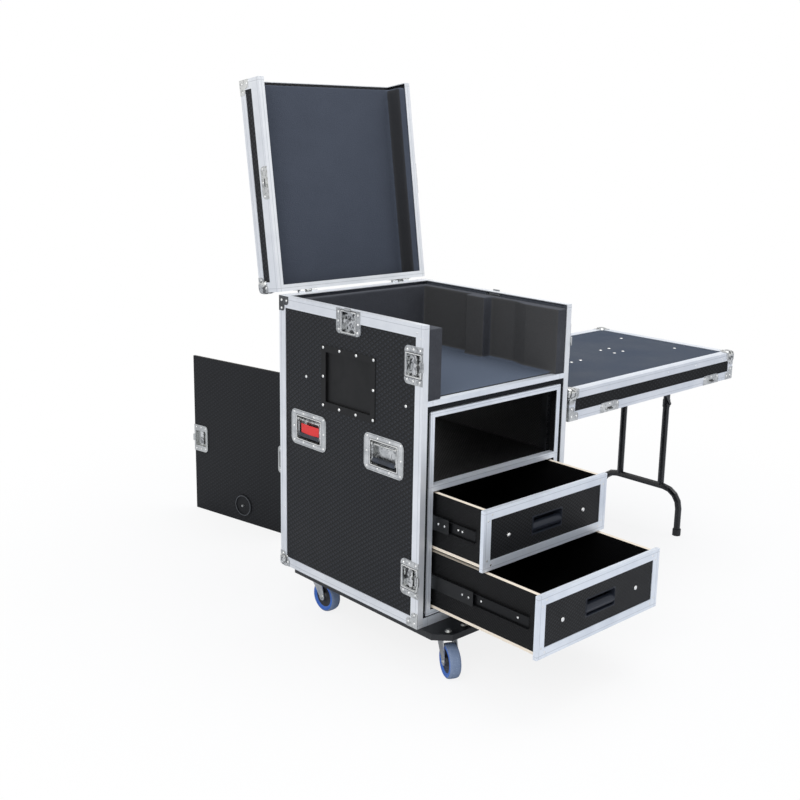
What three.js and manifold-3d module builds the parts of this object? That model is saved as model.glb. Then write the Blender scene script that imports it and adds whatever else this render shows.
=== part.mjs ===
// A rolling road case with two drawers, an open rack bay and a foam tray under a
// hinged lid. Its front cover stands beside it on folding legs as a table, and its
// rear panel stands behind it, lifted out.
// Millimetres, +Z up, the case's front faces -Y.
import * as THREE from 'three';
import { mergeVertices } from 'three/addons/utils/BufferGeometryUtils.js';
import Module from 'manifold-3d';

const wasm = await Module();
wasm.setup();

// Case body, over its aluminium edges
const caseWidth = 600;
const caseDepth = 634;
const caseHeight = 856;
const lidHeight = 98;
const wall = 9;
const skin = 2;
const edgeLeg = 30;
const rimLeg = 35;
const frontLeg = 20;

// Castors and the board that carries them
const castorHeight = 128;
const boardThickness = 18;
const boardInset = 10;
const boardFront = -88;
const boardRearInset = 16;
const boardChamfer = 42;

// Fits
const fit = 0.3;
const looseFit = 0.6;
const overrun = 10;
const mergeWithin = 0.01;
const weldWithin = 1e-4;

const bodyBottom = castorHeight + boardThickness;
const bodyTop = bodyBottom + caseHeight;
const boardWidth = caseWidth - 2 * boardInset;
const boardRear = caseDepth - boardRearInset;
const halfWidth = caseWidth / 2;
const panelOuter = halfWidth - skin;
const panelInner = panelOuter - wall;

// Axes
const X = new THREE.Vector3(1, 0, 0);
const Y = new THREE.Vector3(0, 1, 0);
const Z = new THREE.Vector3(0, 0, 1);
const minus = (axis) => axis.clone().negate();

// Colours as they show in daylight
const finish = (color, roughness, metalness) => ({ color, roughness, metalness });
const laminate = finish(0x303235, 0.55, 0);
const plywood = finish(0xd9b48f, 0.7, 0);
const aluminium = finish(0xd5d8da, 0.35, 0.9);
const zinc = finish(0xa5a6a2, 0.4, 0.9);
const foam = finish(0x3a3d42, 0.95, 0);
const blackSteel = finish(0x17181a, 0.45, 0.6);
const rubber = finish(0x22252a, 0.8, 0);
const wheelBlue = finish(0x3566b8, 0.6, 0);
const paleLaminate = finish(0x4b5666, 0.5, 0);

// Turn a closed geometry into a solid that can be joined and cut
function solid(geometry) {
  const bare = geometry.clone();
  bare.deleteAttribute('normal');
  bare.deleteAttribute('uv');
  const merged = mergeVertices(bare, weldWithin);
  return new wasm.Manifold(new wasm.Mesh({
    numProp: 3,
    vertProperties: new Float32Array(merged.attributes.position.array),
    triVerts: new Uint32Array(merged.index.array),
  }));
}

// A block between two corners
function block(x0, x1, y0, y1, z0, z1) {
  const geometry = new THREE.BoxGeometry(x1 - x0, y1 - y0, z1 - z0);
  geometry.translate((x0 + x1) / 2, (y0 + y1) / 2, (z0 + z1) / 2);
  return solid(geometry);
}

// A place on the case: an origin and two axes, the third being their cross product
function frame(origin, u, v) {
  const matrix = new THREE.Matrix4().makeBasis(u, v, new THREE.Vector3().crossVectors(u, v));
  return matrix.setPosition(...origin);
}

// Move a solid into a frame
const placed = (shape, matrix) => shape.transform(matrix.elements);

// A flat outline drawn out from height w0 to w1 along the third axis
function prism(outline, w0, w1, curveSegments = 3) {
  const options = { depth: w1 - w0, bevelEnabled: false, curveSegments };
  const geometry = new THREE.ExtrudeGeometry(outline, options);
  geometry.translate(0, 0, w0);
  return solid(geometry);
}

// A straight bar of the given section, from one height to another along an axis of the case
function barAlong(axis, outline, from, to, curveSegments = 3) {
  const bar = prism(outline, from, to, curveSegments);
  if (axis === X) {
    return placed(bar, frame([0, 0, 0], Y, Z));
  }
  if (axis === Y) {
    return placed(bar, frame([0, 0, 0], Z, X));
  }
  return bar;
}

// A round bar about the third axis, given as radius and height pairs from axis to axis
function turned(pairs, segments) {
  const profile = pairs.map(([radius, height]) => new THREE.Vector2(radius, height));
  const geometry = new THREE.LatheGeometry(profile, segments);
  geometry.rotateX(Math.PI / 2);
  return solid(geometry);
}

const pin = (radius, w0, w1, segments = 12) => turned(
  [[0, w0], [radius, w0], [radius, w1], [0, w1]], segments,
);

const join = (...shapes) => wasm.Manifold.union(shapes);
const cut = (shape, ...tools) => tools.reduce((rest, tool) => rest.subtract(tool), shape);

// A rectangle with a radius at each corner, in the order: low-low, high-low, high-high, low-high
function rounded(u0, u1, v0, v1, radii) {
  const [a, b, c, d] = Array.isArray(radii) ? radii : [radii, radii, radii, radii];
  const outline = new THREE.Shape();
  const turn = (u, v, radius, start) => {
    if (radius > 0) {
      outline.absarc(u, v, radius, start, start + Math.PI / 2);
    } else {
      outline.lineTo(u, v);
    }
  };
  outline.moveTo(u0, v0 + a);
  turn(u0 + a, v0 + a, a, Math.PI);
  turn(u1 - b, v0 + b, b, 1.5 * Math.PI);
  turn(u1 - c, v1 - c, c, 0);
  turn(u0 + d, v1 - d, d, Math.PI / 2);
  outline.closePath();
  return outline;
}

// An outline through points in order
function polygon(points) {
  return new THREE.Shape(points.map(([u, v]) => new THREE.Vector2(u, v)));
}

// Section of an edge extrusion: two legs of sheet that meet at the case's outer corner.
// The corner lies at (cu, cv), the legs run towards the signs (su, sv).
function angleSection(cu, cv, su, sv, legU, legV) {
  const points = [[0, legV], [0, 0], [legU, 0], [legU, skin], [skin, skin], [skin, legV]];
  return polygon(points.map(([u, v]) => [cu + su * u, cv + sv * v]));
}

// The finished part
const part = new THREE.Group();
const body = new THREE.Group();
part.add(body);

// One named piece from a solid, in the group of the body that carries it
function piece(name, shape, look, group = body) {
  const mesh = shape.asOriginal().simplify(mergeWithin).getMesh();
  const geometry = new THREE.BufferGeometry();
  const positions = new Float32Array((mesh.vertProperties.length / mesh.numProp) * 3);
  for (let i = 0; i * mesh.numProp < mesh.vertProperties.length; i += 1) {
    for (let k = 0; k < 3; k += 1) {
      positions[3 * i + k] = mesh.vertProperties[mesh.numProp * i + k];
    }
  }
  geometry.setAttribute('position', new THREE.BufferAttribute(positions, 3));
  geometry.setIndex(new THREE.BufferAttribute(new Uint32Array(mesh.triVerts), 1));
  geometry.computeVertexNormals();
  const item = new THREE.Mesh(geometry, new THREE.MeshStandardMaterial(look));
  item.name = name;
  group.add(item);
  return item;
}

// A group that turns or slides, placed by a frame
function mover(matrix, parent = part) {
  const group = new THREE.Group();
  matrix.decompose(group.position, group.quaternion, group.scale);
  parent.add(group);
  return group;
}

// Left and right: the sign of X, and the frames on that side's face.
// On a side face, "across" runs along the case and "up" is +Z, with the third axis outward.
const sides = [
  { name: 'left', sign: -1 },
  { name: 'right', sign: 1 },
];

// Mirror helper for blocks: distances from the centre plane become X on either side
function sideBlock(sign, inner, outer, y0, y1, z0, z1) {
  return sign < 0
    ? block(-outer, -inner, y0, y1, z0, z1)
    : block(inner, outer, y0, y1, z0, z1);
}

// Butterfly latch: a pressed dish in the case's edge, with a wing that turns in its pocket.
// In its frame the edge runs along u, v leads inward from it, and w points out.
const latchLength = 105;
const latchReach = 72;
const latchCorner = 14;
const latchDepth = 9;
const latchPlate = 1.5;
const pocketHalf = 30;
const pocketEdge = 8;
const pocketReach = 66;
const pressing = 1;
const wingRadius = 27;
const wingBar = 8;
const wingWaist = 6;
const wingSheet = 2;
const wingLift = 3;
const wingPost = 5;
const hookHalf = 13;
const hookReach = 4;
const hookSheet = 3;
const wingCentre = (pocketEdge + pocketReach) / 2;

function latchDish() {
  const outline = rounded(-latchLength / 2, latchLength / 2, 0, latchReach, [0, 0, latchCorner, latchCorner]);
  const plate = prism(outline, -skin, latchPlate);
  const pocket = block(-pocketHalf, pocketHalf, pocketEdge, pocketReach, -latchDepth, latchPlate + overrun);
  const tub = block(
    -pocketHalf - pressing, pocketHalf + pressing, pocketEdge - pressing, pocketReach + pressing,
    -latchDepth - pressing, 0,
  );
  const hook = join(
    block(-hookHalf, hookHalf, 0, pocketEdge, 0, latchPlate + hookSheet),
    block(-hookHalf, hookHalf, -hookReach, pocketEdge, latchPlate + fit, latchPlate + hookSheet),
  );
  const postBottom = -latchDepth - pressing / 2;
  const postTop = -latchDepth + wingLift - fit;
  const post = placed(pin(wingPost, postBottom, postTop), frame([0, wingCentre, 0], X, Y));
  return join(cut(join(plate, tub), pocket), hook, post);
}

// The hole that the dish needs in the panel and in the edge extrusion behind it
function latchHole() {
  return block(
    -pocketHalf - pressing - fit, pocketHalf + pressing + fit,
    pocketEdge - pressing - fit, pocketReach + pressing + fit, -latchDepth - overrun, overrun,
  );
}

// Two rounded leaves on a hub, lying flat on the post
function latchWing() {
  const round = wingBar - pressing;
  const leaf = (side) => placed(
    prism(rounded(0, wingRadius, -wingBar, wingBar, [0, round, round, 0]), 0, wingSheet, 2),
    frame([0, 0, 0], side < 0 ? minus(X) : X, side < 0 ? minus(Y) : Y),
  );
  const waist = (side) => placed(
    pin(wingBar, -overrun, overrun, 10), frame([0, side * (wingWaist + wingBar), 0], X, Y),
  );
  const hub = pin(wingWaist + pressing, 0, wingSheet + pressing, 10);
  return join(cut(join(leaf(-1), leaf(1)), waist(-1), waist(1)), hub);
}

// Keeper plate that the latch's hook pulls on, riveted over the opposite edge
const keeperLength = 97;
const keeperReach = 32;
const catchHalf = 15;
const catchEdge = 5;
const catchReach = 12;
const catchLift = 5;

function keeper() {
  const outline = rounded(
    -keeperLength / 2, keeperLength / 2, 0, keeperReach, [0, 0, latchCorner, latchCorner],
  );
  const catchBar = block(-catchHalf, catchHalf, catchEdge, catchReach, 0, latchPlate + catchLift);
  return join(prism(outline, -skin, latchPlate), catchBar);
}

// Frames on the side faces: along the front edge, along the top rim, and upright
const alongFront = (sign, z) => frame([sign * halfWidth, 0, z], sign < 0 ? Z : minus(Z), Y);
const alongRim = (sign, y, z) => frame([sign * halfWidth, y, z], sign < 0 ? Y : minus(Y), minus(Z));
const upright = (sign, y, z, x = panelOuter) => frame([sign * x, y, z], sign < 0 ? minus(Y) : Y, Z);

// Recessed spring handle: a pressed dish with a pivot rod, and a bail with a rubber grip
const handleLength = 166;
const handleHeight = 108;
const handleCorner = 18;
const handleDepth = 14;
const handleOpening = 58;
const handleOpeningHalfHeight = 35;
const handleOpeningCorner = 6;
const handlePivotUp = 24;
const handlePivotIn = 5;
const rodRadius = 3;
const eyeRadius = 7;
const bailDrop = 46;
const bailArmAt = 48;
const bailArm = 4;
const bailArmHalf = 4;
const gripRadius = 7;

function handleDish() {
  const half = handleLength / 2;
  const flange = prism(
    rounded(-half, half, -handleHeight / 2, handleHeight / 2, handleCorner), 0, latchPlate,
  );
  const opening = (grow) => rounded(
    -handleOpening - grow, handleOpening + grow, -handleOpeningHalfHeight - grow,
    handleOpeningHalfHeight + grow, handleOpeningCorner + grow,
  );
  const tub = prism(opening(pressing), -handleDepth - pressing, latchPlate);
  const rod = placed(
    pin(rodRadius, -handleOpening - pressing / 2, handleOpening + pressing / 2, 8),
    frame([0, handlePivotUp, -handlePivotIn], Y, Z),
  );
  return join(cut(join(flange, tub), prism(opening(0), -handleDepth, overrun)), rod);
}

function handleHole(grow) {
  return block(
    -handleOpening - pressing - grow, handleOpening + pressing + grow,
    -handleOpeningHalfHeight - pressing - grow, handleOpeningHalfHeight + pressing + grow,
    -handleDepth - pressing - grow, overrun,
  );
}

// The bail hangs from its pivot, in a frame with u along the rod and v up
function handleBail() {
  const armOutline = rounded(-bailArmHalf, bailArmHalf, -bailDrop, 0, 0);
  const arm = (side) => {
    const at = side < 0 ? -bailArmAt - bailArm : bailArmAt;
    const sheet = join(
      placed(prism(armOutline, at, at + bailArm), frame([0, 0, 0], minus(Z), Y)),
      placed(pin(eyeRadius, at, at + bailArm, 10), frame([0, 0, 0], minus(Z), Y)),
    );
    const bore = pin(rodRadius + looseFit, at - overrun, at + overrun, 8);
    return cut(sheet, placed(bore, frame([0, 0, 0], minus(Z), Y)));
  };
  const low = -bailArmAt;
  const grip = placed(pin(gripRadius, low, bailArmAt, 12), frame([0, -bailDrop, 0], minus(Z), Y));
  return join(arm(-1), arm(1), grip);
}

// Corner guard: rounded plates on the faces that meet in a corner, and a ball over the point
const guardReach = 45;
const guardWidth = 26;
const guardEnd = 9;
const guardSheet = 1.5;
const ballRadius = 18;
const ballInset = 12;

// at: the corner; inward: the signs that lead from it into the case;
// faces: the axes whose faces carry a plate; ball: whether a ball covers the point
function cornerGuard(at, inward, faces, ball = true) {
  const axes = [X, Y, Z];
  const plates = faces.map((n) => {
    const a = (n + 1) % 3;
    const b = (n + 2) % 3;
    const leg = (long, short) => prism(rounded(0, long, 0, short, [0, 0, guardEnd, 0]), 0, guardSheet, 2);
    const root = block(0, guardWidth, 0, guardWidth, -pressing, guardSheet);
    const shape = join(leg(guardReach, guardWidth), leg(guardWidth, guardReach), root);
    const matrix = new THREE.Matrix4().makeBasis(
      axes[a].clone().multiplyScalar(inward[a]),
      axes[b].clone().multiplyScalar(inward[b]),
      axes[n].clone().multiplyScalar(-inward[n]),
    ).setPosition(...at);
    return placed(shape, matrix);
  });
  if (!ball) {
    return join(...plates);
  }
  const centre = at.map((value, k) => value + inward[k] * ballInset);
  const sphere = new THREE.SphereGeometry(ballRadius, 10, 6);
  sphere.translate(...centre);
  const hollow = ballRadius + ballInset + overrun;
  const inside = at.map((value, k) => [value, value + inward[k] * hollow].sort((p, q) => p - q));
  return join(cut(solid(sphere), block(...inside[0], ...inside[1], ...inside[2])), ...plates);
}

// Board under the case with the castors' mounting plates
const castorInset = 80;
const castorFrontInset = 63;
const castorFrontY = boardFront + castorFrontInset;
const castorRearInset = 68;
const castorRearY = boardRear - castorRearInset;
const mountLength = 95;
const mountWidth = 78;
const mountSheet = 3;
const racewayRadius = 30;
const racewayHeight = 4;
const racewayHole = 9;
const castorX = boardWidth / 2 - castorInset;

function boardOutline() {
  const half = boardWidth / 2;
  return polygon([
    [-half, boardFront + boardChamfer], [-half + boardChamfer, boardFront],
    [half - boardChamfer, boardFront], [half, boardFront + boardChamfer],
    [half, boardRear - boardChamfer], [half - boardChamfer, boardRear],
    [-half + boardChamfer, boardRear], [-half, boardRear - boardChamfer],
  ]);
}

const castorPlaces = sides.flatMap(({ name, sign }) => [
  { name: `front_${name}`, x: sign * castorX, y: castorFrontY },
  { name: `rear_${name}`, x: sign * castorX, y: castorRearY },
]);

const mountBottom = castorHeight - mountSheet;
const racewayBottom = mountBottom - racewayHeight;
const mountPlates = castorPlaces.map(({ x, y }) => {
  const plate = block(
    x - mountWidth / 2, x + mountWidth / 2, y - mountLength / 2, y + mountLength / 2,
    mountBottom, castorHeight,
  );
  const raceway = placed(pin(racewayRadius, racewayBottom, mountBottom, 16), frame([x, y, 0], X, Y));
  return join(plate, raceway);
});
piece('caster_board', join(prism(boardOutline(), castorHeight, bodyBottom), ...mountPlates), blackSteel);

// Heights of the inside: the tray hangs from the rim, the rack bay comes below it
// and the drawers fill what is left
const sleeveInset = 33;
const sleeveLift = 30;
const trayDepth = 207;
const trayFloorRoom = 32;
const bayHeight = 207;
const midRailHeight = 18;
const trayStrip = 15;
const sleeveBottom = bodyBottom + sleeveLift;
const trayTop = bodyTop - trayDepth;
const sleeveTop = trayTop - trayFloorRoom;
const midRailTop = sleeveTop - bayHeight;
const midRailBottom = midRailTop - midRailHeight;
const floorFoam = 4;
const trayPanelTop = trayTop - skin - fit;
const trayPanelBottom = trayPanelTop - wall;

// Plywood panels behind the edge extrusions
const panelFront = skin;
const panelRear = caseDepth - skin;
const panelBottom = bodyBottom + skin;
const panelTop = bodyTop - skin;
piece('base_panel', block(
  -panelInner, panelInner, panelFront, panelRear, panelBottom, panelBottom + wall,
), plywood);

const latchFromTop = 112;
const latchFromBottom = 141;
const latchHeights = { upper: bodyTop - latchFromTop, lower: bodyBottom + latchFromBottom };
const lidLatchForward = 8;
const lidLatchY = caseDepth / 2 - lidLatchForward;
const handleFromTop = 390;
const handleFromFront = 154;
const handleFromRear = 141;
const handleZ = bodyTop - handleFromTop;
const handleYs = { front: handleFromFront, rear: caseDepth - handleFromRear };

// Label dish in the left side, a shallow black pressing with a wide flange
const labelLength = 239;
const labelHeight = 188;
const labelForward = 4.5;
const labelFromTop = 118;
const labelY0 = caseDepth / 2 - labelForward - labelLength / 2;
const labelY1 = labelY0 + labelLength;
const labelZ1 = bodyTop - labelFromTop;
const labelZ0 = labelZ1 - labelHeight;
const labelFlange = 20;
const labelSheet = 1.2;
const labelDepth = 6;
const labelCorner = 4;
const labelHollow = block(
  -panelOuter - overrun, -panelOuter + labelDepth,
  labelY0 + labelFlange, labelY1 - labelFlange, labelZ0 + labelFlange, labelZ1 - labelFlange,
);
const labelTub = block(
  -panelOuter, -panelOuter + labelDepth + labelSheet,
  labelY0 + labelFlange - labelSheet, labelY1 - labelFlange + labelSheet,
  labelZ0 + labelFlange - labelSheet, labelZ1 - labelFlange + labelSheet,
);
const labelPlate = placed(
  prism(rounded(-labelY1, -labelY0, labelZ0, labelZ1, labelCorner), 0, labelSheet), upright(-1, 0, 0),
);
piece('label_dish', cut(join(labelPlate, labelTub), labelHollow), blackSteel);
const labelHole = block(
  -panelOuter - overrun, -panelOuter + labelDepth + labelSheet + fit,
  labelY0 + labelFlange - labelSheet - fit, labelY1 - labelFlange + labelSheet + fit,
  labelZ0 + labelFlange - labelSheet - fit, labelZ1 - labelFlange + labelSheet + fit,
);

const latchFrames = (sign) => [
  { name: 'upper_cover_latch', matrix: alongFront(sign, latchHeights.upper) },
  { name: 'lower_cover_latch', matrix: alongFront(sign, latchHeights.lower) },
  { name: 'lid_latch', matrix: alongRim(sign, lidLatchY, bodyTop) },
];

for (const { name, sign } of sides) {
  const panel = sideBlock(sign, panelInner, panelOuter, panelFront, panelRear, panelBottom, panelTop);
  const latchHoles = latchFrames(sign).map(({ matrix }) => placed(latchHole(), matrix));
  const handleHoles = Object.values(handleYs).map((y) => placed(handleHole(fit), upright(sign, y, handleZ)));
  const holes = sign < 0 ? [...latchHoles, ...handleHoles, labelHole] : [...latchHoles, ...handleHoles];
  piece(`${name}_side_panel`, cut(panel, ...holes), laminate);
}

const rearPanelInner = panelRear - wall;
piece('rear_upper_panel', block(
  -panelInner, panelInner, rearPanelInner, panelRear, trayPanelBottom, panelTop,
), laminate);
piece('tray_floor_panel', block(
  -panelInner, panelInner, panelFront, rearPanelInner, trayPanelBottom, trayPanelTop,
), plywood);

// Aluminium edges. Each side has its front edge, rim and bottom edge in one frame with
// the latch dishes riveted into it.
const rearButt = caseDepth - edgeLeg;
for (const { name, sign } of sides) {
  const edge = sign * halfWidth;
  const inward = -sign;
  const front = barAlong(Z, angleSection(edge, 0, inward, 1, frontLeg, edgeLeg), bodyBottom, bodyTop);
  const rim = barAlong(Y, angleSection(bodyTop, edge, -1, inward, rimLeg, frontLeg), 0, rearButt);
  const bottom = barAlong(Y, angleSection(bodyBottom, edge, 1, inward, edgeLeg, frontLeg), 0, rearButt);
  const latchHoles = latchFrames(sign).map(({ matrix }) => placed(latchHole(), matrix));
  const bars = cut(join(front, rim, bottom), ...latchHoles);
  const dishes = latchFrames(sign).map(({ matrix }) => placed(latchDish(), matrix));
  const guard = cornerGuard([edge, 0, bodyBottom], [inward, 1, 1], [0], false);
  piece(`${name}_trim_frame`, join(bars, ...dishes, guard), aluminium);
}

// Rear frame: uprights, rim and bottom edge, ball corners below and plates above,
// with the case halves of the lid hinges
const hingeUp = 3.4;
const hingeOut = 4.5;
const hingeInset = 110;
const hingeAt = halfWidth - hingeInset;
const hingeLeafHalf = 35;
const hingeGap = 0.5;
const hingeLeafHeight = 28;
const hingeSheet = 1.5;
const hingePin = 2.5;
const knuckleShare = 1 / 3;
const hingeY = caseDepth + hingeOut;
const hingeZ = bodyTop + hingeUp;
const knuckleHalf = hingeLeafHalf * knuckleShare;

function knuckle(x0, x1) {
  return placed(pin(hingeOut, x0, x1, 12), frame([0, hingeY, hingeZ], Y, Z));
}

function caseHinge(x) {
  const leaf = block(
    x - hingeLeafHalf, x + hingeLeafHalf, caseDepth - pressing, caseDepth + hingeSheet,
    bodyTop - hingeLeafHeight, bodyTop,
  );
  const tail = block(
    x - hingeLeafHalf, x + hingeLeafHalf, caseDepth + fit, caseDepth + hingeSheet, bodyTop - pressing, hingeZ,
  );
  const gap = block(
    x - knuckleHalf - hingeGap, x + knuckleHalf + hingeGap, caseDepth - fit, caseDepth + overrun,
    bodyTop - hingeOut, hingeZ + overrun,
  );
  const knuckles = join(knuckle(x - hingeLeafHalf, x - knuckleHalf - hingeGap),
    knuckle(x + knuckleHalf + hingeGap, x + hingeLeafHalf));
  const rod = placed(
    pin(hingePin, x - hingeLeafHalf, x + hingeLeafHalf, 12), frame([0, hingeY, hingeZ], Y, Z),
  );
  return join(cut(join(leaf, tail, knuckles), gap), rod);
}

const rearBars = sides.map(({ sign }) => barAlong(
  Z, angleSection(sign * halfWidth, caseDepth, -sign, -1, edgeLeg, edgeLeg), bodyBottom, bodyTop,
));
const rearRim = barAlong(X, angleSection(caseDepth, bodyTop, -1, -1, edgeLeg, rimLeg), -halfWidth, halfWidth);
const rearSill = barAlong(
  X, angleSection(caseDepth, bodyBottom, -1, 1, edgeLeg, edgeLeg), -halfWidth, halfWidth,
);
const rearGuards = sides.flatMap(({ sign }) => [
  cornerGuard([sign * halfWidth, caseDepth, bodyBottom], [-sign, -1, 1], [0, 1]),
  cornerGuard([sign * halfWidth, caseDepth, bodyTop], [-sign, -1, -1], [0, 1], false),
]);
piece('rear_trim_frame', join(
  ...rearBars, rearRim, rearSill, ...rearGuards, caseHinge(-hingeAt), caseHinge(hingeAt),
), aluminium);

// Sill below the drawers and the strip along the tray's front
const sillHeight = 26;
const sillEnd = halfWidth - frontLeg;
piece('front_sill_trim', barAlong(
  X, angleSection(0, bodyBottom, 1, 1, frontLeg, sillHeight), -sillEnd, sillEnd,
), aluminium);
piece('tray_front_trim', barAlong(
  X, angleSection(0, trayTop, 1, -1, frontLeg, trayStrip), -sillEnd, sillEnd,
), aluminium);

// Tray foam: a floor with walls left, right and at the rear, one block glued up
const foamBelowRim = 12;
const foamTop = bodyTop - foamBelowRim;
const foamFloorTop = trayTop + floorFoam;
const foamWall = 30;
const foamBlock = 60;
const foamBlockEnd = 82;
const foamGap = 1;
const rightBlock = 45;
const rightBlockEnd = 130;
const rightSlantEnd = 190;
const rightSlant = 26;
const pillarFront = 290;
const pillarRear = 370;
const foamHalf = panelInner - foamGap;
const foamRear = rearPanelInner - foamGap;
const foamStart = skin + fit;
const foamWalls = polygon([
  [-foamHalf, foamStart], [-foamHalf + foamBlock, foamStart],
  [-foamHalf + foamBlock, foamBlockEnd], [-foamHalf + foamWall, foamBlockEnd],
  [-foamHalf + foamWall, foamRear - foamWall], [foamHalf - foamWall, foamRear - foamWall],
  [foamHalf - foamWall, pillarRear], [foamHalf - foamBlock, pillarRear],
  [foamHalf - foamBlock, pillarFront], [foamHalf - rightSlant, pillarFront],
  [foamHalf - rightSlant, rightSlantEnd], [foamHalf - rightBlock, rightBlockEnd],
  [foamHalf - rightBlock, foamStart], [foamHalf, foamStart],
  [foamHalf, foamRear], [-foamHalf, foamRear],
]);
const foamFloor = block(-foamHalf, foamHalf, frontLeg + fit, foamRear, trayTop - skin, foamFloorTop);
piece('tray_foam', join(prism(foamWalls, trayTop + fit, foamTop), foamFloor), foam);

// Shock foam between the case and the inner sleeve, cut back for the handle dishes
const sleeveHalf = halfWidth - sleeveInset;
const sleeveFoamGap = fit;
const foamFront = skin + 2 * fit;
const sleeveShort = 44;
const sleeveRear = caseDepth - sleeveShort;
const shockOuter = block(
  -panelInner + fit, panelInner - fit, foamFront, sleeveRear,
  panelBottom + wall + fit, trayPanelBottom - fit,
);
const shockInner = block(
  -sleeveHalf - sleeveFoamGap, sleeveHalf + sleeveFoamGap, -overrun, sleeveRear + overrun,
  sleeveBottom - sleeveFoamGap, sleeveTop + sleeveFoamGap,
);
const shockPockets = sides.flatMap(({ sign }) => Object.values(handleYs).map(
  (y) => placed(handleHole(2 * fit), upright(sign, y, handleZ)),
));
piece('shock_foam', cut(shockOuter, shockInner, ...shockPockets), foam);

// Inner sleeve: a plywood tunnel with a shelf under the open rack bay
const sleeveOuter = sleeveHalf - skin;
const sleeveInner = sleeveOuter - wall;
const shelfTop = midRailTop - skin - fit;
const shelfBottom = shelfTop - wall;
const railSheet = 2.8;
const railFace = 20;
const railFront = 24;
const railDepth = 34;
const railNotch = (sign) => sideBlock(
  sign, sleeveInner - railSheet - fit, sleeveInner, railFront - fit, railFront + railDepth + fit,
  shelfBottom - overrun, shelfTop + overrun,
);
const tunnel = cut(
  block(-sleeveOuter, sleeveOuter, skin + fit, sleeveRear, sleeveBottom + skin, sleeveTop - skin),
  block(
    -sleeveInner, sleeveInner, -overrun, sleeveRear + overrun,
    sleeveBottom + skin + wall, sleeveTop - skin - wall,
  ),
);
const shelf = cut(
  block(-sleeveInner, sleeveInner, skin + fit, sleeveRear, shelfBottom, shelfTop),
  railNotch(-1), railNotch(1),
);
piece('inner_sleeve', join(tunnel, shelf), plywood);

// Aluminium round the sleeve's mouth, with the rail across the shelf's edge
const sleeveLeg = 15;
const sleeveWrap = 25;
const mouthOuter = rounded(-sleeveHalf, sleeveHalf, sleeveBottom, sleeveTop, 0);
const mouthFace = cut(
  placed(prism(mouthOuter, -skin, 0), frame([0, 0, 0], X, Z)),
  block(
    -sleeveHalf + sleeveLeg, sleeveHalf - sleeveLeg, -overrun, overrun,
    sleeveBottom + sleeveLeg, sleeveTop - sleeveLeg,
  ),
);
const mouthWrap = cut(
  placed(prism(mouthOuter, -sleeveWrap, -skin), frame([0, 0, 0], X, Z)),
  block(
    -sleeveOuter - fit, sleeveOuter + fit, -overrun, sleeveWrap + overrun,
    sleeveBottom + skin - fit, sleeveTop - skin + fit,
  ),
);
const midRail = barAlong(
  X, angleSection(0, midRailTop, 1, -1, frontLeg, midRailTop - midRailBottom),
  -sleeveHalf + sleeveLeg, sleeveHalf - sleeveLeg,
);
piece('sleeve_trim', join(mouthFace, mouthWrap, midRail), aluminium);

// Drawers. Each is drawn shut and stands as far out as the photograph shows.
const drawerReveal = 10;
const drawerHalf = sleeveHalf - drawerReveal;
const drawerLeg = 28;
const drawerSheet = 12;
const drawerFront = -drawerSheet - looseFit;
const slideRoom = 10.7;
const drawerSides = sleeveInner - railSheet - slideRoom;
const drawerRearRoom = 110;
const drawerLength = sleeveRear - drawerRearRoom;
const drawerLip = 4;
const drawerSill = 13.9;
const drawerHead = 1.8;
const drawerGap = 0.9;
const lowerShare = 0.5055;
const upperOut = 186;
const lowerOut = 384;
const stackBottom = sleeveBottom + drawerSill;
const stackTop = midRailBottom - drawerHead;
const drawerJoint = stackBottom + (stackTop - stackBottom) * lowerShare;
const drawers = [
  { name: 'upper', bottom: drawerJoint + drawerGap / 2, top: stackTop, out: upperOut },
  { name: 'lower', bottom: stackBottom, top: drawerJoint - drawerGap / 2, out: lowerOut },
];

// Telescopic slides: channels nested one in the next, on each side of each drawer
const slideSheet = 1.2;
const slideStart = 30;
const slideLength = drawerLength - slideStart;
const slideTallHalf = 22.5;
const slideMidHalf = slideTallHalf - slideSheet - 2 * fit;
const slideSmallHalf = 17.5;
const slideAir = fit;
const midWeb = sleeveInner - railSheet - slideSheet - slideAir;

// A channel open towards the centre plane (or away from it): web outside, lips at both heights
function channel(sign, web, lip, centre, half, y0, y1) {
  const inwardOpen = lip < web;
  const outer = sideBlock(sign, Math.min(web, lip), Math.max(web, lip), y0, y1, centre - half, centre + half);
  const inner = inwardOpen
    ? sideBlock(sign, lip - overrun, web - slideSheet, y0 - overrun, y1 + overrun,
      centre - half + slideSheet, centre + half - slideSheet)
    : sideBlock(sign, web + slideSheet, lip + overrun, y0 - overrun, y1 + overrun,
      centre - half + slideSheet, centre + half - slideSheet);
  return cut(outer, inner);
}

const middle = ({ bottom, top }) => (bottom + top) / 2;

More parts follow.
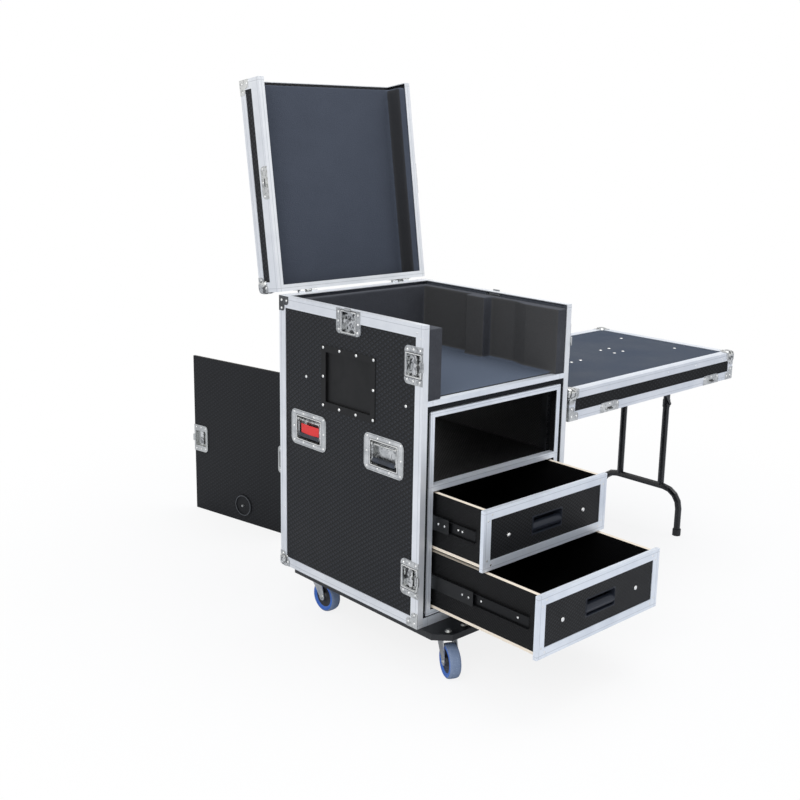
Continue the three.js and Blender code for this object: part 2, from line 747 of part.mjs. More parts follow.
// Rack rail in the bay, carried down behind the drawers as the upright that holds the slides
const railHole = 7;
const rackUnit = 44.45;
const rackHolePitchShares = [0.14, 0.5, 0.86];
for (const { name, sign } of sides) {
  const railTop = sleeveTop - skin - wall - fit;
  const web = sideBlock(
    sign, sleeveInner - railSheet, sleeveInner, railFront, railFront + railDepth,
    sleeveBottom + skin + wall + fit, railTop,
  );
  const bayBottom = shelfTop + fit;
  const face = sideBlock(
    sign, sleeveInner - railFace, sleeveInner, railFront, railFront + railSheet, bayBottom, railTop,
  );
  const units = Math.floor((railTop - bayBottom) / rackUnit);
  const holes = [];
  for (let unit = 0; unit < units; unit += 1) {
    for (const share of rackHolePitchShares) {
      const z = bayBottom + (unit + share) * rackUnit;
      const x = sleeveInner - (railFace + railSheet) / 2 - fit;
      holes.push(sideBlock(
        sign, x - railHole / 2, x + railHole / 2, railFront - overrun, railFront + railSheet + overrun,
        z - railHole / 2, z + railHole / 2,
      ));
    }
  }
  const runners = drawers.map((drawer) => channel(
    sign, sleeveInner - railSheet, sleeveInner - slideRoom + fit, middle(drawer), slideTallHalf,
    slideStart, slideStart + slideLength,
  ));
  piece(`${name}_rail_and_runners`, join(cut(join(web, face), ...holes), ...runners), blackSteel);
}

// Recessed pull: a pressed cup in the drawer's front with a rolled grip across its lower half
const pullHalf = 60;
const pullHalfHeight = 24;
const pullDepth = 34;
const pullCorner = 5;
const gripRoll = 15;
const gripDown = 8;
const gripWall = 3;

function pullCup(centreZ) {
  const at = frame([0, drawerFront + skin, centreZ], X, Z);
  const cup = (grow) => rounded(
    -pullHalf - grow, pullHalf + grow, -pullHalfHeight - grow, pullHalfHeight + grow, pullCorner + grow,
  );
  const hollow = placed(prism(cup(0), -pullDepth, overrun), at);
  const tub = placed(prism(cup(pressing), -pullDepth - pressing, pressing), at);
  const gripAt = frame([0, drawerFront + gripRoll + pressing, centreZ - gripDown], Y, Z);
  const roll = placed(pin(gripRoll, -pullHalf - pressing / 2, pullHalf + pressing / 2, 20), gripAt);
  const core = placed(pin(gripRoll - gripWall, -pullHalf - overrun, pullHalf + overrun, 20), gripAt);
  const behind = block(
    -pullHalf - overrun, pullHalf + overrun, drawerFront + gripRoll + pressing, drawerFront + pullDepth * 2,
    centreZ - pullHalfHeight * 2, centreZ + pullHalfHeight * 2,
  );
  const hole = placed(prism(cup(pressing / 2), -wall - overrun, overrun), at);
  return { hole, cup: join(cut(tub, hollow), cut(roll, core, behind)) };
}

for (const drawer of drawers) {
  const { name, bottom, top, out } = drawer;
  const centre = middle(drawer);
  const group = mover(frame([0, -out, 0], X, Y));
  const frontBack = drawerFront + drawerSheet;
  const rear = drawerFront + drawerLength;
  const boxBottom = bottom + drawerLip;
  const boxTop = top - drawerLip;
  const front = block(
    -drawerHalf + skin, drawerHalf - skin, drawerFront + skin, frontBack, bottom + skin, top - skin,
  );
  const box = cut(
    block(-drawerSides, drawerSides, frontBack - fit, rear, boxBottom, boxTop),
    block(
      -drawerSides + drawerSheet, drawerSides - drawerSheet, frontBack, rear - drawerSheet,
      boxBottom + wall, boxTop + overrun,
    ),
  );
  const members = sides.map(({ sign }) => channel(
    sign, drawerSides - fit, midWeb - slideSheet - slideAir,
    centre, slideSmallHalf, slideStart + drawerFront + drawerSheet, slideStart + slideLength + drawerFront,
  ));
  const pull = pullCup(centre);
  const body = join(cut(join(front, box), pull.hole), pull.cup, ...members);
  piece(`${name}_drawer_box`, body, blackSteel, group);

  const outline = rounded(-drawerHalf, drawerHalf, bottom, top, 0);
  const ring = placed(prism(outline, -frontBack, -drawerFront), frame([0, 0, 0], X, Z));
  const window = block(
    -drawerHalf + drawerLeg, drawerHalf - drawerLeg, -overrun * 2, overrun,
    bottom + drawerLeg, top - drawerLeg,
  );
  const seat = block(
    -drawerHalf + skin, drawerHalf - skin, drawerFront + skin, overrun, bottom + skin, top - skin,
  );
  piece(`${name}_drawer_trim`, cut(ring, window, seat), aluminium, group);

  for (const { name: side, sign } of sides) {
    const slide = mover(frame([0, -out / 2, 0], X, Y));
    piece(`${name}_${side}_slide`, channel(
      sign, midWeb, drawerSides + 2 * looseFit, centre, slideMidHalf,
      slideStart, slideStart + slideLength,
    ), zinc, slide);
  }
}

// Lid, drawn shut and then opened about its hinge line. Its front side is open.
const lidOpen = THREE.MathUtils.degToRad(98.6);
const lidRest = 0.5;
const lidRim = bodyTop + lidRest;
const lidTop = bodyTop + lidHeight;
const lidRimLeg = 41;
const lidTopLeg = 25;
const lid = mover(new THREE.Matrix4().makeRotationX(-lidOpen).setPosition(0, hingeY, hingeZ));
const shut = (shape) => shape.translate([0, -hingeY, -hingeZ]);

const lidPanelBottom = lidTop - skin - fit - wall;
const lidSkin = skin + fit;
const lidHalf = halfWidth - lidSkin;
const lidShell = cut(
  block(-lidHalf, lidHalf, lidSkin, caseDepth - lidSkin, lidRim + lidSkin, lidTop - lidSkin),
  block(
    -lidHalf + wall, lidHalf - wall, -overrun, caseDepth - lidSkin - wall,
    lidRim - overrun, lidTop - lidSkin - wall,
  ),
);
piece('lid_shell', shut(lidShell), laminate, lid);

function lidHinge(x) {
  const leaf = block(
    x - hingeLeafHalf, x + hingeLeafHalf, caseDepth - pressing, caseDepth + hingeSheet,
    hingeZ + hingeOut + hingeGap, hingeZ + hingeLeafHeight,
  );
  const neck = block(
    x - knuckleHalf, x + knuckleHalf, caseDepth, caseDepth + hingeSheet, hingeZ, hingeZ + hingeLeafHeight,
  );
  const bore = placed(
    pin(hingePin + fit, x - hingeLeafHalf, x + hingeLeafHalf, 12), frame([0, hingeY, hingeZ], Y, Z),
  );
  return cut(join(leaf, neck, knuckle(x - knuckleHalf, x + knuckleHalf)), bore);
}

const lidBars = sides.flatMap(({ sign }) => {
  const edge = sign * halfWidth;
  return [
    barAlong(Y, angleSection(lidRim, edge, 1, -sign, lidRimLeg, frontLeg), 0, caseDepth),
    barAlong(Y, angleSection(lidTop, edge, -1, -sign, lidTopLeg, edgeLeg), 0, caseDepth),
    barAlong(Z, angleSection(edge, 0, -sign, 1, frontLeg, edgeLeg), lidRim, lidTop),
    barAlong(Z, angleSection(edge, caseDepth, -sign, -1, edgeLeg, edgeLeg), lidRim, lidTop),
  ];
});
const lidCrossBars = [
  barAlong(X, angleSection(caseDepth, lidRim, -1, 1, frontLeg, lidRimLeg), -halfWidth, halfWidth),
  barAlong(X, angleSection(caseDepth, lidTop, -1, -1, edgeLeg, lidTopLeg), -halfWidth, halfWidth),
  barAlong(X, angleSection(0, lidTop, 1, -1, edgeLeg, skin + wall), -halfWidth, halfWidth),
];
const lidGuards = sides.flatMap(({ sign }) => [
  cornerGuard([sign * halfWidth, caseDepth, lidTop], [-sign, -1, -1], [0, 1, 2]),
  cornerGuard([sign * halfWidth, 0, lidTop], [-sign, 1, -1], [0, 2], false),
]);
const lidKeepers = sides.map(({ sign }) => placed(keeper(), upright(sign, lidLatchY, lidRim, halfWidth)));
piece('lid_trim', shut(join(
  ...lidBars, ...lidCrossBars, ...lidGuards, ...lidKeepers, lidHinge(-hingeAt), lidHinge(hingeAt),
)), aluminium, lid);

const lidFoamDepth = 25;
const lidFoamWall = 34;
const lidFoamEdge = 14;
const lidFoamHalf = lidHalf - wall - fit;
const lidFoamRear = caseDepth - lidSkin - wall - fit;
const lidFoam = join(
  block(
    -lidFoamHalf, lidFoamHalf, lidFoamEdge, lidFoamRear,
    lidPanelBottom - fit - lidFoamDepth, lidPanelBottom - fit,
  ),
  block(
    lidFoamHalf - lidFoamWall, lidFoamHalf, lidFoamEdge, lidFoamRear,
    lidRim + lidSkin, lidPanelBottom - fit,
  ),
);
piece('lid_foam', shut(lidFoam), foam, lid);

// Spring handles, two on each side
for (const { name, sign } of sides) {
  for (const [end, y] of Object.entries(handleYs)) {
    const at = upright(sign, y, handleZ);
    piece(`${name}_${end}_handle_dish`, placed(handleDish(), at), zinc);
    const pivot = at.clone().multiply(new THREE.Matrix4().makeTranslation(0, handlePivotUp, -handlePivotIn));
    piece(`${name}_${end}_handle_bail`, handleBail(), rubber, mover(pivot));
  }
  for (const { name: latch, matrix } of latchFrames(sign)) {
    const toHub = new THREE.Matrix4().makeTranslation(0, wingCentre, -latchDepth + wingLift);
    const hub = matrix.clone().multiply(toHub);
    piece(`${name}_${latch}_wing`, latchWing(), zinc, mover(hub));
  }
}

// Castors: a fork that swivels under its plate, and a wheel on an axle through the fork
const wheelRadius = 50;
const wheelWidth = 34;
const treadShoulder = 5;
const rimInner = 36;
const hubRadius = 14;
const webHalf = 12;
const trail = 35;
const axleRadius = 5;
const forkSheet = 3;
const forkAir = 2;
const forkEnd = 12;
const forkTopHalf = 25;
const crownSheet = 4;
const crownGap = 5;
const crownTop = racewayBottom - crownGap;
const swivelRadius = 26;
const forkHalf = wheelWidth / 2 + forkAir;
const forkOuter = forkHalf + forkSheet;
const wheelSteps = 20;
const castorTurns = { front_left: 245.4, front_right: 300, rear_left: 270, rear_right: 250 };

function wheelShape() {
  const half = wheelWidth / 2;
  const bore = axleRadius + fit;
  const side = [
    [bore, half + forkAir / 2], [hubRadius, half + forkAir / 2], [hubRadius, webHalf], [rimInner, webHalf],
    [rimInner + forkAir, half], [wheelRadius - treadShoulder, half], [wheelRadius, half - treadShoulder],
  ];
  const mirrored = side.map(([radius, height]) => [radius, -height]);
  return turned([...mirrored, ...side.reverse(), mirrored[0]], wheelSteps);
}

function forkShape() {
  const leg = new THREE.Shape();
  leg.moveTo(-forkTopHalf, crownTop);
  leg.lineTo(-forkTopHalf, crownTop - 2 * crownSheet);
  leg.lineTo(trail - forkEnd, wheelRadius);
  leg.absarc(trail, wheelRadius, forkEnd, Math.PI, 2 * Math.PI);
  leg.lineTo(forkTopHalf + crownSheet, crownTop);
  leg.closePath();
  // u forward along the trail, v up, so the third axis runs across the wheel
  const across = frame([0, 0, 0], X, Z);
  const legs = [-1, 1].map((side) => placed(
    prism(leg, side < 0 ? -forkOuter : forkHalf, side < 0 ? -forkHalf : forkOuter, 4), across,
  ));
  const crown = block(
    -forkTopHalf, forkTopHalf, -forkOuter, forkOuter, crownTop - crownSheet, crownTop,
  );
  const swivel = pin(swivelRadius, crownTop - crownSheet / 2, racewayBottom - fit, 16);
  const axle = placed(
    pin(axleRadius, -forkHalf - 2 * forkSheet, forkHalf + 2 * forkSheet, 12),
    frame([trail, 0, wheelRadius], X, Z),
  );
  return join(...legs, crown, swivel, axle);
}

for (const { name, x, y } of castorPlaces) {
  const turn = THREE.MathUtils.degToRad(castorTurns[name]);
  const trailing = new THREE.Vector3(Math.cos(turn), Math.sin(turn), 0);
  const across = new THREE.Vector3(-Math.sin(turn), Math.cos(turn), 0);
  const swivel = mover(frame([x, y, 0], trailing, across));
  piece(`${name}_fork`, forkShape(), zinc, swivel);
  const axle = mover(frame([trail, 0, wheelRadius], X, Z), swivel);
  piece(`${name}_wheel`, wheelShape(), wheelBlue, axle);
}

// The front cover, standing beside the case as a table on its folding legs
const tableAway = 58;
const tableBack = 37;
const tableTop = 720;
const tableTurn = THREE.MathUtils.degToRad(1.2);
const coverShort = 1;
const tableX = halfWidth + tableAway;
const tableY = tableBack;
const tableLength = caseHeight + lidHeight - coverShort;
const tableBand = 29;
const tableRim = tableTop - lidHeight;
const tableEndX = tableX + tableLength;
const tableEndY = tableY + caseWidth;
const tableMidY = tableY + caseWidth / 2;
const tableSkin = skin + fit;
const tablePanelBottom = tableTop - tableSkin - wall;
const table = mover(new THREE.Matrix4().makeTranslation(tableX, tableY, 0)
  .multiply(new THREE.Matrix4().makeRotationZ(tableTurn))
  .multiply(new THREE.Matrix4().makeTranslation(-tableX, -tableY, 0)));

const tableOuter = block(
  tableX + tableSkin, tableEndX - tableSkin, tableY + tableSkin, tableEndY - tableSkin,
  tableRim + tableSkin, tableTop - tableSkin,
);
const tableHollow = block(
  tableX + tableSkin + wall, tableEndX - tableSkin - wall, tableY + tableSkin + wall,
  tableEndY - tableSkin - wall, tableRim - overrun, tablePanelBottom,
);

// Four edges round the top and four round the rim, uprights in the corners
const tableBars = [
  [tableY, 1], [tableEndY, -1],
].flatMap(([y, inward]) => [
  barAlong(X, angleSection(y, tableTop, inward, -1, edgeLeg, tableBand), tableX, tableEndX),
  barAlong(X, angleSection(y, tableRim, inward, 1, frontLeg, tableBand), tableX, tableEndX),
]);
const tableEndBars = [
  [tableX, 1], [tableEndX, -1],
].flatMap(([x, inward]) => [
  barAlong(Y, angleSection(tableTop, x, -1, inward, tableBand, edgeLeg), tableY, tableEndY),
  barAlong(Y, angleSection(tableRim, x, 1, inward, tableBand, frontLeg), tableY, tableEndY),
]);
const tableCorners = [
  [tableX, tableY, 1, 1], [tableEndX, tableY, -1, 1],
  [tableX, tableEndY, 1, -1], [tableEndX, tableEndY, -1, -1],
];
const tableUprights = tableCorners.map(([x, y, inX, inY]) => barAlong(
  Z, angleSection(x, y, inX, inY, edgeLeg, edgeLeg), tableRim, tableTop,
));
const tableGuards = tableCorners.flatMap(([x, y, inX, inY]) => [
  cornerGuard([x, y, tableTop], [inX, inY, -1], [0, 1, 2]),
  cornerGuard([x, y, tableRim], [inX, inY, 1], [0, 1], false),
]);
const coverLatchFromBottom = [latchHeights.lower - bodyBottom, latchHeights.upper - bodyBottom];
const tableKeepers = coverLatchFromBottom.flatMap((distance) => [
  placed(keeper(), frame([tableEndX - distance, tableY, tableRim], X, Z)),
  placed(keeper(), frame([tableEndX - distance, tableEndY, tableRim], minus(X), Z)),
]);
piece('table_cover_trim', join(
  ...tableBars, ...tableEndBars, ...tableUprights, ...tableGuards, ...tableKeepers,
), aluminium, table);

// Folding legs: a tube frame turns on a cross tube held by two ears under the table top.
// The two frames fold over one another, so their pivots lie at different heights.
const tube = 12.5;
const tubeSteps = 8;
const legSpreadShare = 0.1573;
const footSpreadShare = 0.3;
const legSpread = caseWidth * legSpreadShare;
const footSpread = caseWidth * footSpreadShare;
const leftLegInset = 136;
const rightLegInset = 96;
const leftPivotDown = 58;
const rightPivotDown = 27;
const crossbarHeight = 177;
const footBend = 72;
const headBend = 28;
const bendSteps = 4;
const footCap = 16;
const footCapHeight = 25;
const earSheet = 3;
const earHalf = 16;
const earGap = 1;
const pivotPin = 6;
const collarDown = 180;
const braceInboard = 130;
const braceSheet = 3;
const braceHalf = 5;
const bracePin = 3.5;
const braceRod = 2.5;
const braceRodDown = 180;
const collarHeight = 14;
const collarWall = 2;

// A straight round bar between two points
function strut(from, to, radius, steps = tubeSteps) {
  const a = new THREE.Vector3(...from);
  const b = new THREE.Vector3(...to);
  const along = b.clone().sub(a).normalize();
  const turn = new THREE.Quaternion().setFromUnitVectors(Z, along);
  const matrix = new THREE.Matrix4().makeRotationFromQuaternion(turn).setPosition(a);
  return placed(pin(radius, 0, a.distanceTo(b), steps), matrix);
}

// A closed round tube along points in a plane square to X; each ring lies square to its stretch
function bentTube(points, radius, steps = tubeSteps) {
  const path = points.map((point) => new THREE.Vector3(...point));
  const last = path.length - 1;
  const positions = [];
  const index = [];
  path.forEach((at, i) => {
    const along = path[Math.min(i + 1, last)].clone().sub(path[Math.max(i - 1, 0)]).normalize();
    const across = new THREE.Vector3().crossVectors(along, X);
    for (let j = 0; j < steps; j += 1) {
      const turn = (2 * Math.PI * j) / steps;
      const spoke = X.clone().multiplyScalar(radius * Math.cos(turn));
      spoke.addScaledVector(across, radius * Math.sin(turn));
      positions.push(...spoke.add(at).toArray());
    }
  });
  const startCentre = path.length * steps;
  positions.push(...path[0].toArray(), ...path[last].toArray());
  for (let j = 0; j < steps; j += 1) {
    const k = (j + 1) % steps;
    for (let i = 0; i < last; i += 1) {
      const a = i * steps;
      const b = a + steps;
      index.push(a + j, a + k, b + k, a + j, b + k, b + j);
    }
    index.push(startCentre, k, j, startCentre + 1, last * steps + j, last * steps + k);
  }
  const geometry = new THREE.BufferGeometry();
  geometry.setAttribute('position', new THREE.Float32BufferAttribute(positions, 3));
  geometry.setIndex(index);
  return solid(geometry);
}

// A quarter bend in that plane, from a stretch along Z to one along Y, or back
function bend(y, z, side, up, radius) {
  const points = [];
  for (let i = 0; i <= bendSteps; i += 1) {
    const turn = (Math.PI / 2) * (i / bendSteps);
    points.push([
      0, y + side * radius * (1 - Math.cos(turn)), z + up * radius * (Math.sin(turn) - 1),
    ]);
  }
  return points;
}

const braceLength = Math.hypot(collarDown, braceInboard);
const braceInner = legSpread + tube + collarWall + fit;
const braceOuter = braceInner + braceSheet;
const earInner = braceOuter + looseFit;

// Drawn about the pivot, hanging straight down; inboard is the sign of X it folds towards
function legShape(drop) {
  const bar = crossbarHeight - drop;
  const foot = footCapHeight - drop;
  const half = [-1, 1].flatMap((side) => [
    strut([0, side * footSpread, -drop], [0, side * footSpread, foot], footCap),
    strut(
      [0, side * legSpread, -collarDown - collarHeight],
      [0, side * legSpread, -collarDown + collarHeight],
      tube + collarWall,
    ),
  ]);
  const base = bentTube([
    [0, -footSpread, foot - overrun], ...bend(-footSpread, bar, 1, 1, footBend),
    ...bend(footSpread, bar, -1, 1, footBend).reverse(), [0, footSpread, foot - overrun],
  ], tube);
  const head = bentTube([
    [0, -legSpread, bar], ...bend(-legSpread, 0, 1, 1, headBend),
    ...bend(legSpread, 0, -1, 1, headBend).reverse(), [0, legSpread, bar],
  ], tube);
  const pivot = strut([0, -earInner - earSheet - earGap, 0], [0, earInner + earSheet + earGap, 0], pivotPin);
  return join(...half, base, head, pivot);
}

// Drawn about its own pivot under the table top, reaching down to the collars on the leg
function braceShape(inboard) {
  const along = new THREE.Vector3(-inboard * braceInboard, 0, -collarDown).normalize();
  const bars = [-1, 1].map((side) => {
    const y = side * (braceInner + braceSheet / 2);
    const outline = rounded(-braceHalf, braceHalf, -braceHalf, braceLength + braceHalf, braceHalf - pressing);
    const sheet = prism(outline, -braceSheet / 2, braceSheet / 2, 2);
    return placed(sheet, frame([0, y, 0], new THREE.Vector3().crossVectors(along, Y), along));
  });
  const end = earInner + earSheet + earGap;
  const pins = [-1, 1].map((side) => strut([0, side * braceInner, 0], [0, side * end, 0], bracePin));
  const low = along.clone().multiplyScalar(braceRodDown);
  const rod = strut([low.x, -braceOuter, low.z], [low.x, braceOuter, low.z], braceRod);
  return join(...bars, ...pins, rod);
}

const legs = [
  { name: 'left', x: tableX + leftLegInset, pivotDown: leftPivotDown, inboard: 1 },
  { name: 'right', x: tableEndX - rightLegInset, pivotDown: rightPivotDown, inboard: -1 },
];
const legEars = [];
for (const { name, x, pivotDown, inboard } of legs) {
  const pivotZ = tablePanelBottom - pivotDown;
  const leg = mover(new THREE.Matrix4().setPosition(x, tableMidY, pivotZ), table);
  piece(`${name}_table_leg`, legShape(pivotZ), blackSteel, leg);
  const braceX = x + inboard * braceInboard;
  const brace = mover(new THREE.Matrix4().setPosition(braceX, tableMidY, pivotZ), table);
  piece(`${name}_table_brace`, braceShape(inboard), blackSteel, brace);
  for (const [earX, radius] of [[x, pivotPin], [braceX, bracePin]]) {
    for (const side of [-1, 1]) {
      const y0 = tableMidY + (side < 0 ? -earInner - earSheet : earInner);
      const hole = placed(
        pin(radius + looseFit, y0 - overrun, y0 + earSheet + overrun), frame([earX, 0, pivotZ], Z, X),
      );
      legEars.push(cut(
        block(earX - earHalf, earX + earHalf, y0, y0 + earSheet, pivotZ - earHalf, tablePanelBottom), hole,
      ));
    }
  }
}
piece('table_cover_shell', join(cut(tableOuter, tableHollow), ...legEars), paleLaminate, table);

// The rear panel, lifted out and standing behind the case, with a latch in each side edge
// and a round cable port near its lower edge, shut by a cover that is held by a stud
const rearWidth = 520;
const rearHeight = 615;
const rearStandX = 41.5;
const rearStandY = 1345;
const rearTurn = THREE.MathUtils.degToRad(10.3);
const rearLatchUp = 290;
const portUp = 65;
const portRadius = 36;
const portRing = 44;
const portSheet = 3;
const portSteps = 24;
const coverSheet = 4;
const studRadius = 4;
const studHeight = 7;
const rearU = new THREE.Vector3(Math.sin(rearTurn), -Math.cos(rearTurn), 0);
const rearPanel = mover(frame([rearStandX, rearStandY, 0], rearU, Z));
const rearLatches = [
  { name: 'outer', matrix: frame([-rearWidth / 2, rearLatchUp, skin], minus(Y), X) },
  { name: 'inner', matrix: frame([rearWidth / 2, rearLatchUp, skin], Y, minus(X)) },
];
const rearBlank = prism(rounded(-rearWidth / 2, rearWidth / 2, 0, rearHeight, 0), -wall, 0);
const port = (radius, w0, w1) => placed(pin(radius, w0, w1, portSteps), frame([0, portUp, 0], X, Y));
const rearSheet = cut(
  rearBlank, port(portRadius, -overrun - wall, overrun),
  ...rearLatches.map(({ matrix }) => placed(latchHole(), matrix)),
);
const portRim = cut(port(portRing, -skin, portSheet), port(portRadius, -overrun, overrun));
const portCover = join(
  port(portRadius + pressing / 2, -coverSheet, 0), port(studRadius, -pressing, studHeight),
);
piece('rear_panel', join(
  rearSheet, portRim, portCover, ...rearLatches.map(({ matrix }) => placed(latchDish(), matrix)),
), laminate, rearPanel);
for (const { name, matrix } of rearLatches) {
  const toHub = new THREE.Matrix4().makeTranslation(0, wingCentre, -latchDepth + wingLift);
  const hub = matrix.clone().multiply(toHub);
  piece(`rear_panel_${name}_latch_wing`, latchWing(), zinc, mover(hub, rearPanel));
}

// The origin is on the floor, under the middle of everything that stands there
const bounds = new THREE.Box3().setFromObject(part, true);
const middleX = (bounds.min.x + bounds.max.x) / 2;
const middleY = (bounds.min.y + bounds.max.y) / 2;
part.position.set(-middleX, -middleY, -bounds.min.z);
part.updateMatrixWorld(true);

export default part;
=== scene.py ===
from functools import partialmethod
import bpy
import numpy as np
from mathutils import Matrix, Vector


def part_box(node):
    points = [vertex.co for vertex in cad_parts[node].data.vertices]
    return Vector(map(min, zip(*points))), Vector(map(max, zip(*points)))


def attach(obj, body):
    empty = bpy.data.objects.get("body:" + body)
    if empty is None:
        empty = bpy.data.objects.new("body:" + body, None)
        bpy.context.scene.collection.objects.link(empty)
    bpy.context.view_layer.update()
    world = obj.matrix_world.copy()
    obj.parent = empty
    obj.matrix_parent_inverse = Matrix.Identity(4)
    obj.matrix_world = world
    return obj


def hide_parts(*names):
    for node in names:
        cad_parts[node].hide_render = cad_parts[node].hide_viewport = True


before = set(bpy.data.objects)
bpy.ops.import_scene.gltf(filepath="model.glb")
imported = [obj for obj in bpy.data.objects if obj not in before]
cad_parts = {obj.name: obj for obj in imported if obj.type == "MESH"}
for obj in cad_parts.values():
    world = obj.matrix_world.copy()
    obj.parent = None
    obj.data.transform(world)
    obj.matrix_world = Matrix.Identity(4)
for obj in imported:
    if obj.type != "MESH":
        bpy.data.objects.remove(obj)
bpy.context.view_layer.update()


# The yard the case stands in: a pale floor under an even, overcast sky.
# The floor is a wide flat sheet, the sky is the world's own light, and two
# large soft lamps give the left side and the top their slightly brighter look.
def tint(code):
    """Linear colour of a hex code: a channel c below 0.04045 is c / 12.92, above it ((c + 0.055) / 1.055) ^ 2.4."""
    channels = np.array([int(code[k:k + 2], 16) / 255 for k in (1, 3, 5)])
    linear = np.where(channels < 0.04045, channels / 12.92, ((channels + 0.055) / 1.055) ** 2.4)
    return (*linear.tolist(), 1.0)


def join(socket, value):
    """Another node's output is linked to the input; a number, a vector or a hex colour is set on it."""
    value = value.socket if isinstance(value, Wire) else value
    if isinstance(value, bpy.types.NodeSocket):
        socket.id_data.links.new(value, socket)
    else:
        socket.default_value = tint(value) if isinstance(value, str) else value


class Wire:
    """A number that nodes work out at each point. Arithmetic on it adds the nodes that do it. A comparison is 1 where
    it holds and 0 elsewhere, and | is the larger of two numbers."""

    def __init__(self, socket):
        self.socket, self.tree = socket, socket.id_data

    def step(self, operation, *others):
        """This number and the others, through one arithmetic node."""
        made = self.tree.nodes.new("ShaderNodeMath")
        made.operation = operation
        for socket, value in zip(made.inputs, (self, *others)):
            join(socket, value)
        return Wire(made.outputs[0])

    def __rsub__(self, other):
        return self * -1.0 + other

    __add__ = partialmethod(step, "ADD")
    __sub__ = partialmethod(step, "SUBTRACT")
    __mul__ = partialmethod(step, "MULTIPLY")
    __truediv__ = partialmethod(step, "DIVIDE")
    __gt__ = partialmethod(step, "GREATER_THAN")
    __lt__ = partialmethod(step, "LESS_THAN")
    __or__ = partialmethod(step, "MAXIMUM")
    __abs__ = partialmethod(step, "ABSOLUTE")


def put(tree, kind, settings=None, **sockets):
    """A node of that kind. Its sockets go by name, with _ for a space, or by number as in0, in1 and so on."""
    made = tree.nodes.new("ShaderNode" + kind)
    for key, value in (settings or {}).items():
        setattr(made, key, value)
    for key, value in sockets.items():
        numbered = key.startswith("in") and key[2:].isdigit()
        join(made.inputs[int(key[2:]) if numbered else key.replace("_", " ")], value)
    return made


def object_point(tree):
    """The point's place in the piece's own frame."""
    return put(tree, "TexCoord").outputs["Object"]


def vectors(operation, *values):
    """One step of arithmetic on vectors: a number for a length or a dot product, otherwise a vector."""
    given = {f"in{k}": value for k, value in enumerate(values)}
    made = put(values[0].id_data, "VectorMath", {"operation": operation}, **given)
    return Wire(made.outputs["Value"]) if operation in ("LENGTH", "DOT_PRODUCT") else made.outputs["Vector"]


def noise(tree, scale, detail=2.0, **sockets):
    """Cloudy noise over the piece, from 0 to 1."""
    return Wire(put(tree, "TexNoise", Vector=object_point(tree), Scale=scale, Detail=detail, **sockets).outputs["Fac"])


def ramp(value, low, high, bottom=0.0, top=1.0, kind="SMOOTHSTEP"):
    """From bottom to top while the value goes from low to high."""
    made = put(value.tree, "MapRange", {"interpolation_type": kind},
               Value=value, in1=low, in2=high, in3=bottom, in4=top)
    return Wire(made.outputs[0])


def mix(amount, first, second):
    """The first colour where the amount is 0, the second where it is 1."""
    return put(amount.tree, "MixRGB", Fac=amount, Color1=first, Color2=second).outputs[0]


def new_paint(name):
    """A new material without nodes, and its node tree."""
    made = bpy.data.materials.new(name)
    made.use_nodes = True
    made.node_tree.nodes.clear()
    return made, made.node_tree


def mesh_object(name, points, faces, smooth=False):
    """An object with those corners and faces."""
    mesh = bpy.data.meshes.new(name)
    mesh.from_pydata(np.reshape(points, (-1, 3)).tolist(), [], faces)
    mesh.polygons.foreach_set("use_smooth", [smooth] * len(mesh.polygons))
    mesh.update()
    made = bpy.data.objects.new(name, mesh)
    bpy.context.scene.collection.objects.link(made)
    return made


def grid_faces(rows, columns, closed_across=False, closed_along=False):
    """The cells of a grid of points [rows, columns], each as one face, wrapping round where asked."""
    i = np.arange(rows if closed_along else rows - 1)[:, None]
    j = np.arange(columns if closed_across else columns - 1)[None, :]
    next_i, next_j = (i + 1) % rows, (j + 1) % columns
    corners = i * columns + j, i * columns + next_j, next_i * columns + next_j, next_i * columns + j
    return np.stack(np.broadcast_arrays(*corners), -1).reshape(-1, 4).tolist()


floor_reach, floor_drop = 14, 0.0008
floor_x, floor_y = np.meshgrid(*[np.linspace(-floor_reach, floor_reach, 9)] * 2, indexing="ij")
floor_points = np.stack([floor_x, floor_y, np.full_like(floor_x, -floor_drop)], -1)
yard_floor = mesh_object("yard_floor", floor_points, grid_faces(9, 9))
floor_paint, tree = new_paint("pale_floor")
floor_face = put(tree, "BsdfPrincipled", Base_Color=mix(noise(tree, 3.0, 3.0), "#f4f4f3", "#fbfbfb"), Roughness=0.9)
floor_glow = put(tree, "Emission", Color="#ffffff", Strength=1.0)
fade = ramp(vectors("LENGTH", object_point(tree)), 0.6, 2.2, 0.84, 1.0)
seen = fade * Wire(put(tree, "LightPath").outputs["Is Camera Ray"])
floor_mix = put(tree, "MixShader", in0=seen, in1=floor_face.outputs[0], in2=floor_glow.outputs[0])
put(tree, "OutputMaterial", Surface=floor_mix.outputs[0])
yard_floor.data.materials.append(floor_paint)

sky = bpy.data.worlds.new("overcast_sky")
bpy.context.scene.world = sky
sky.use_nodes = True
tree = sky.node_tree
tree.nodes.clear()
camera_ray, glossy_ray, clear_ray = (Wire(put(tree, "LightPath").outputs[f"Is {kind} Ray"])
                                     for kind in ("Camera", "Glossy", "Transmission"))
ambient = put(tree, "Background", Color="#eef3ff", Strength=0.62)
backdrop = put(tree, "Background", Color="#ffffff", Strength=1.0)
direct = camera_ray | glossy_ray | clear_ray
sky_mix = put(tree, "MixShader", in0=direct, in1=ambient.outputs[0], in2=backdrop.outputs[0])
put(tree, "OutputWorld", Surface=sky_mix.outputs[0])

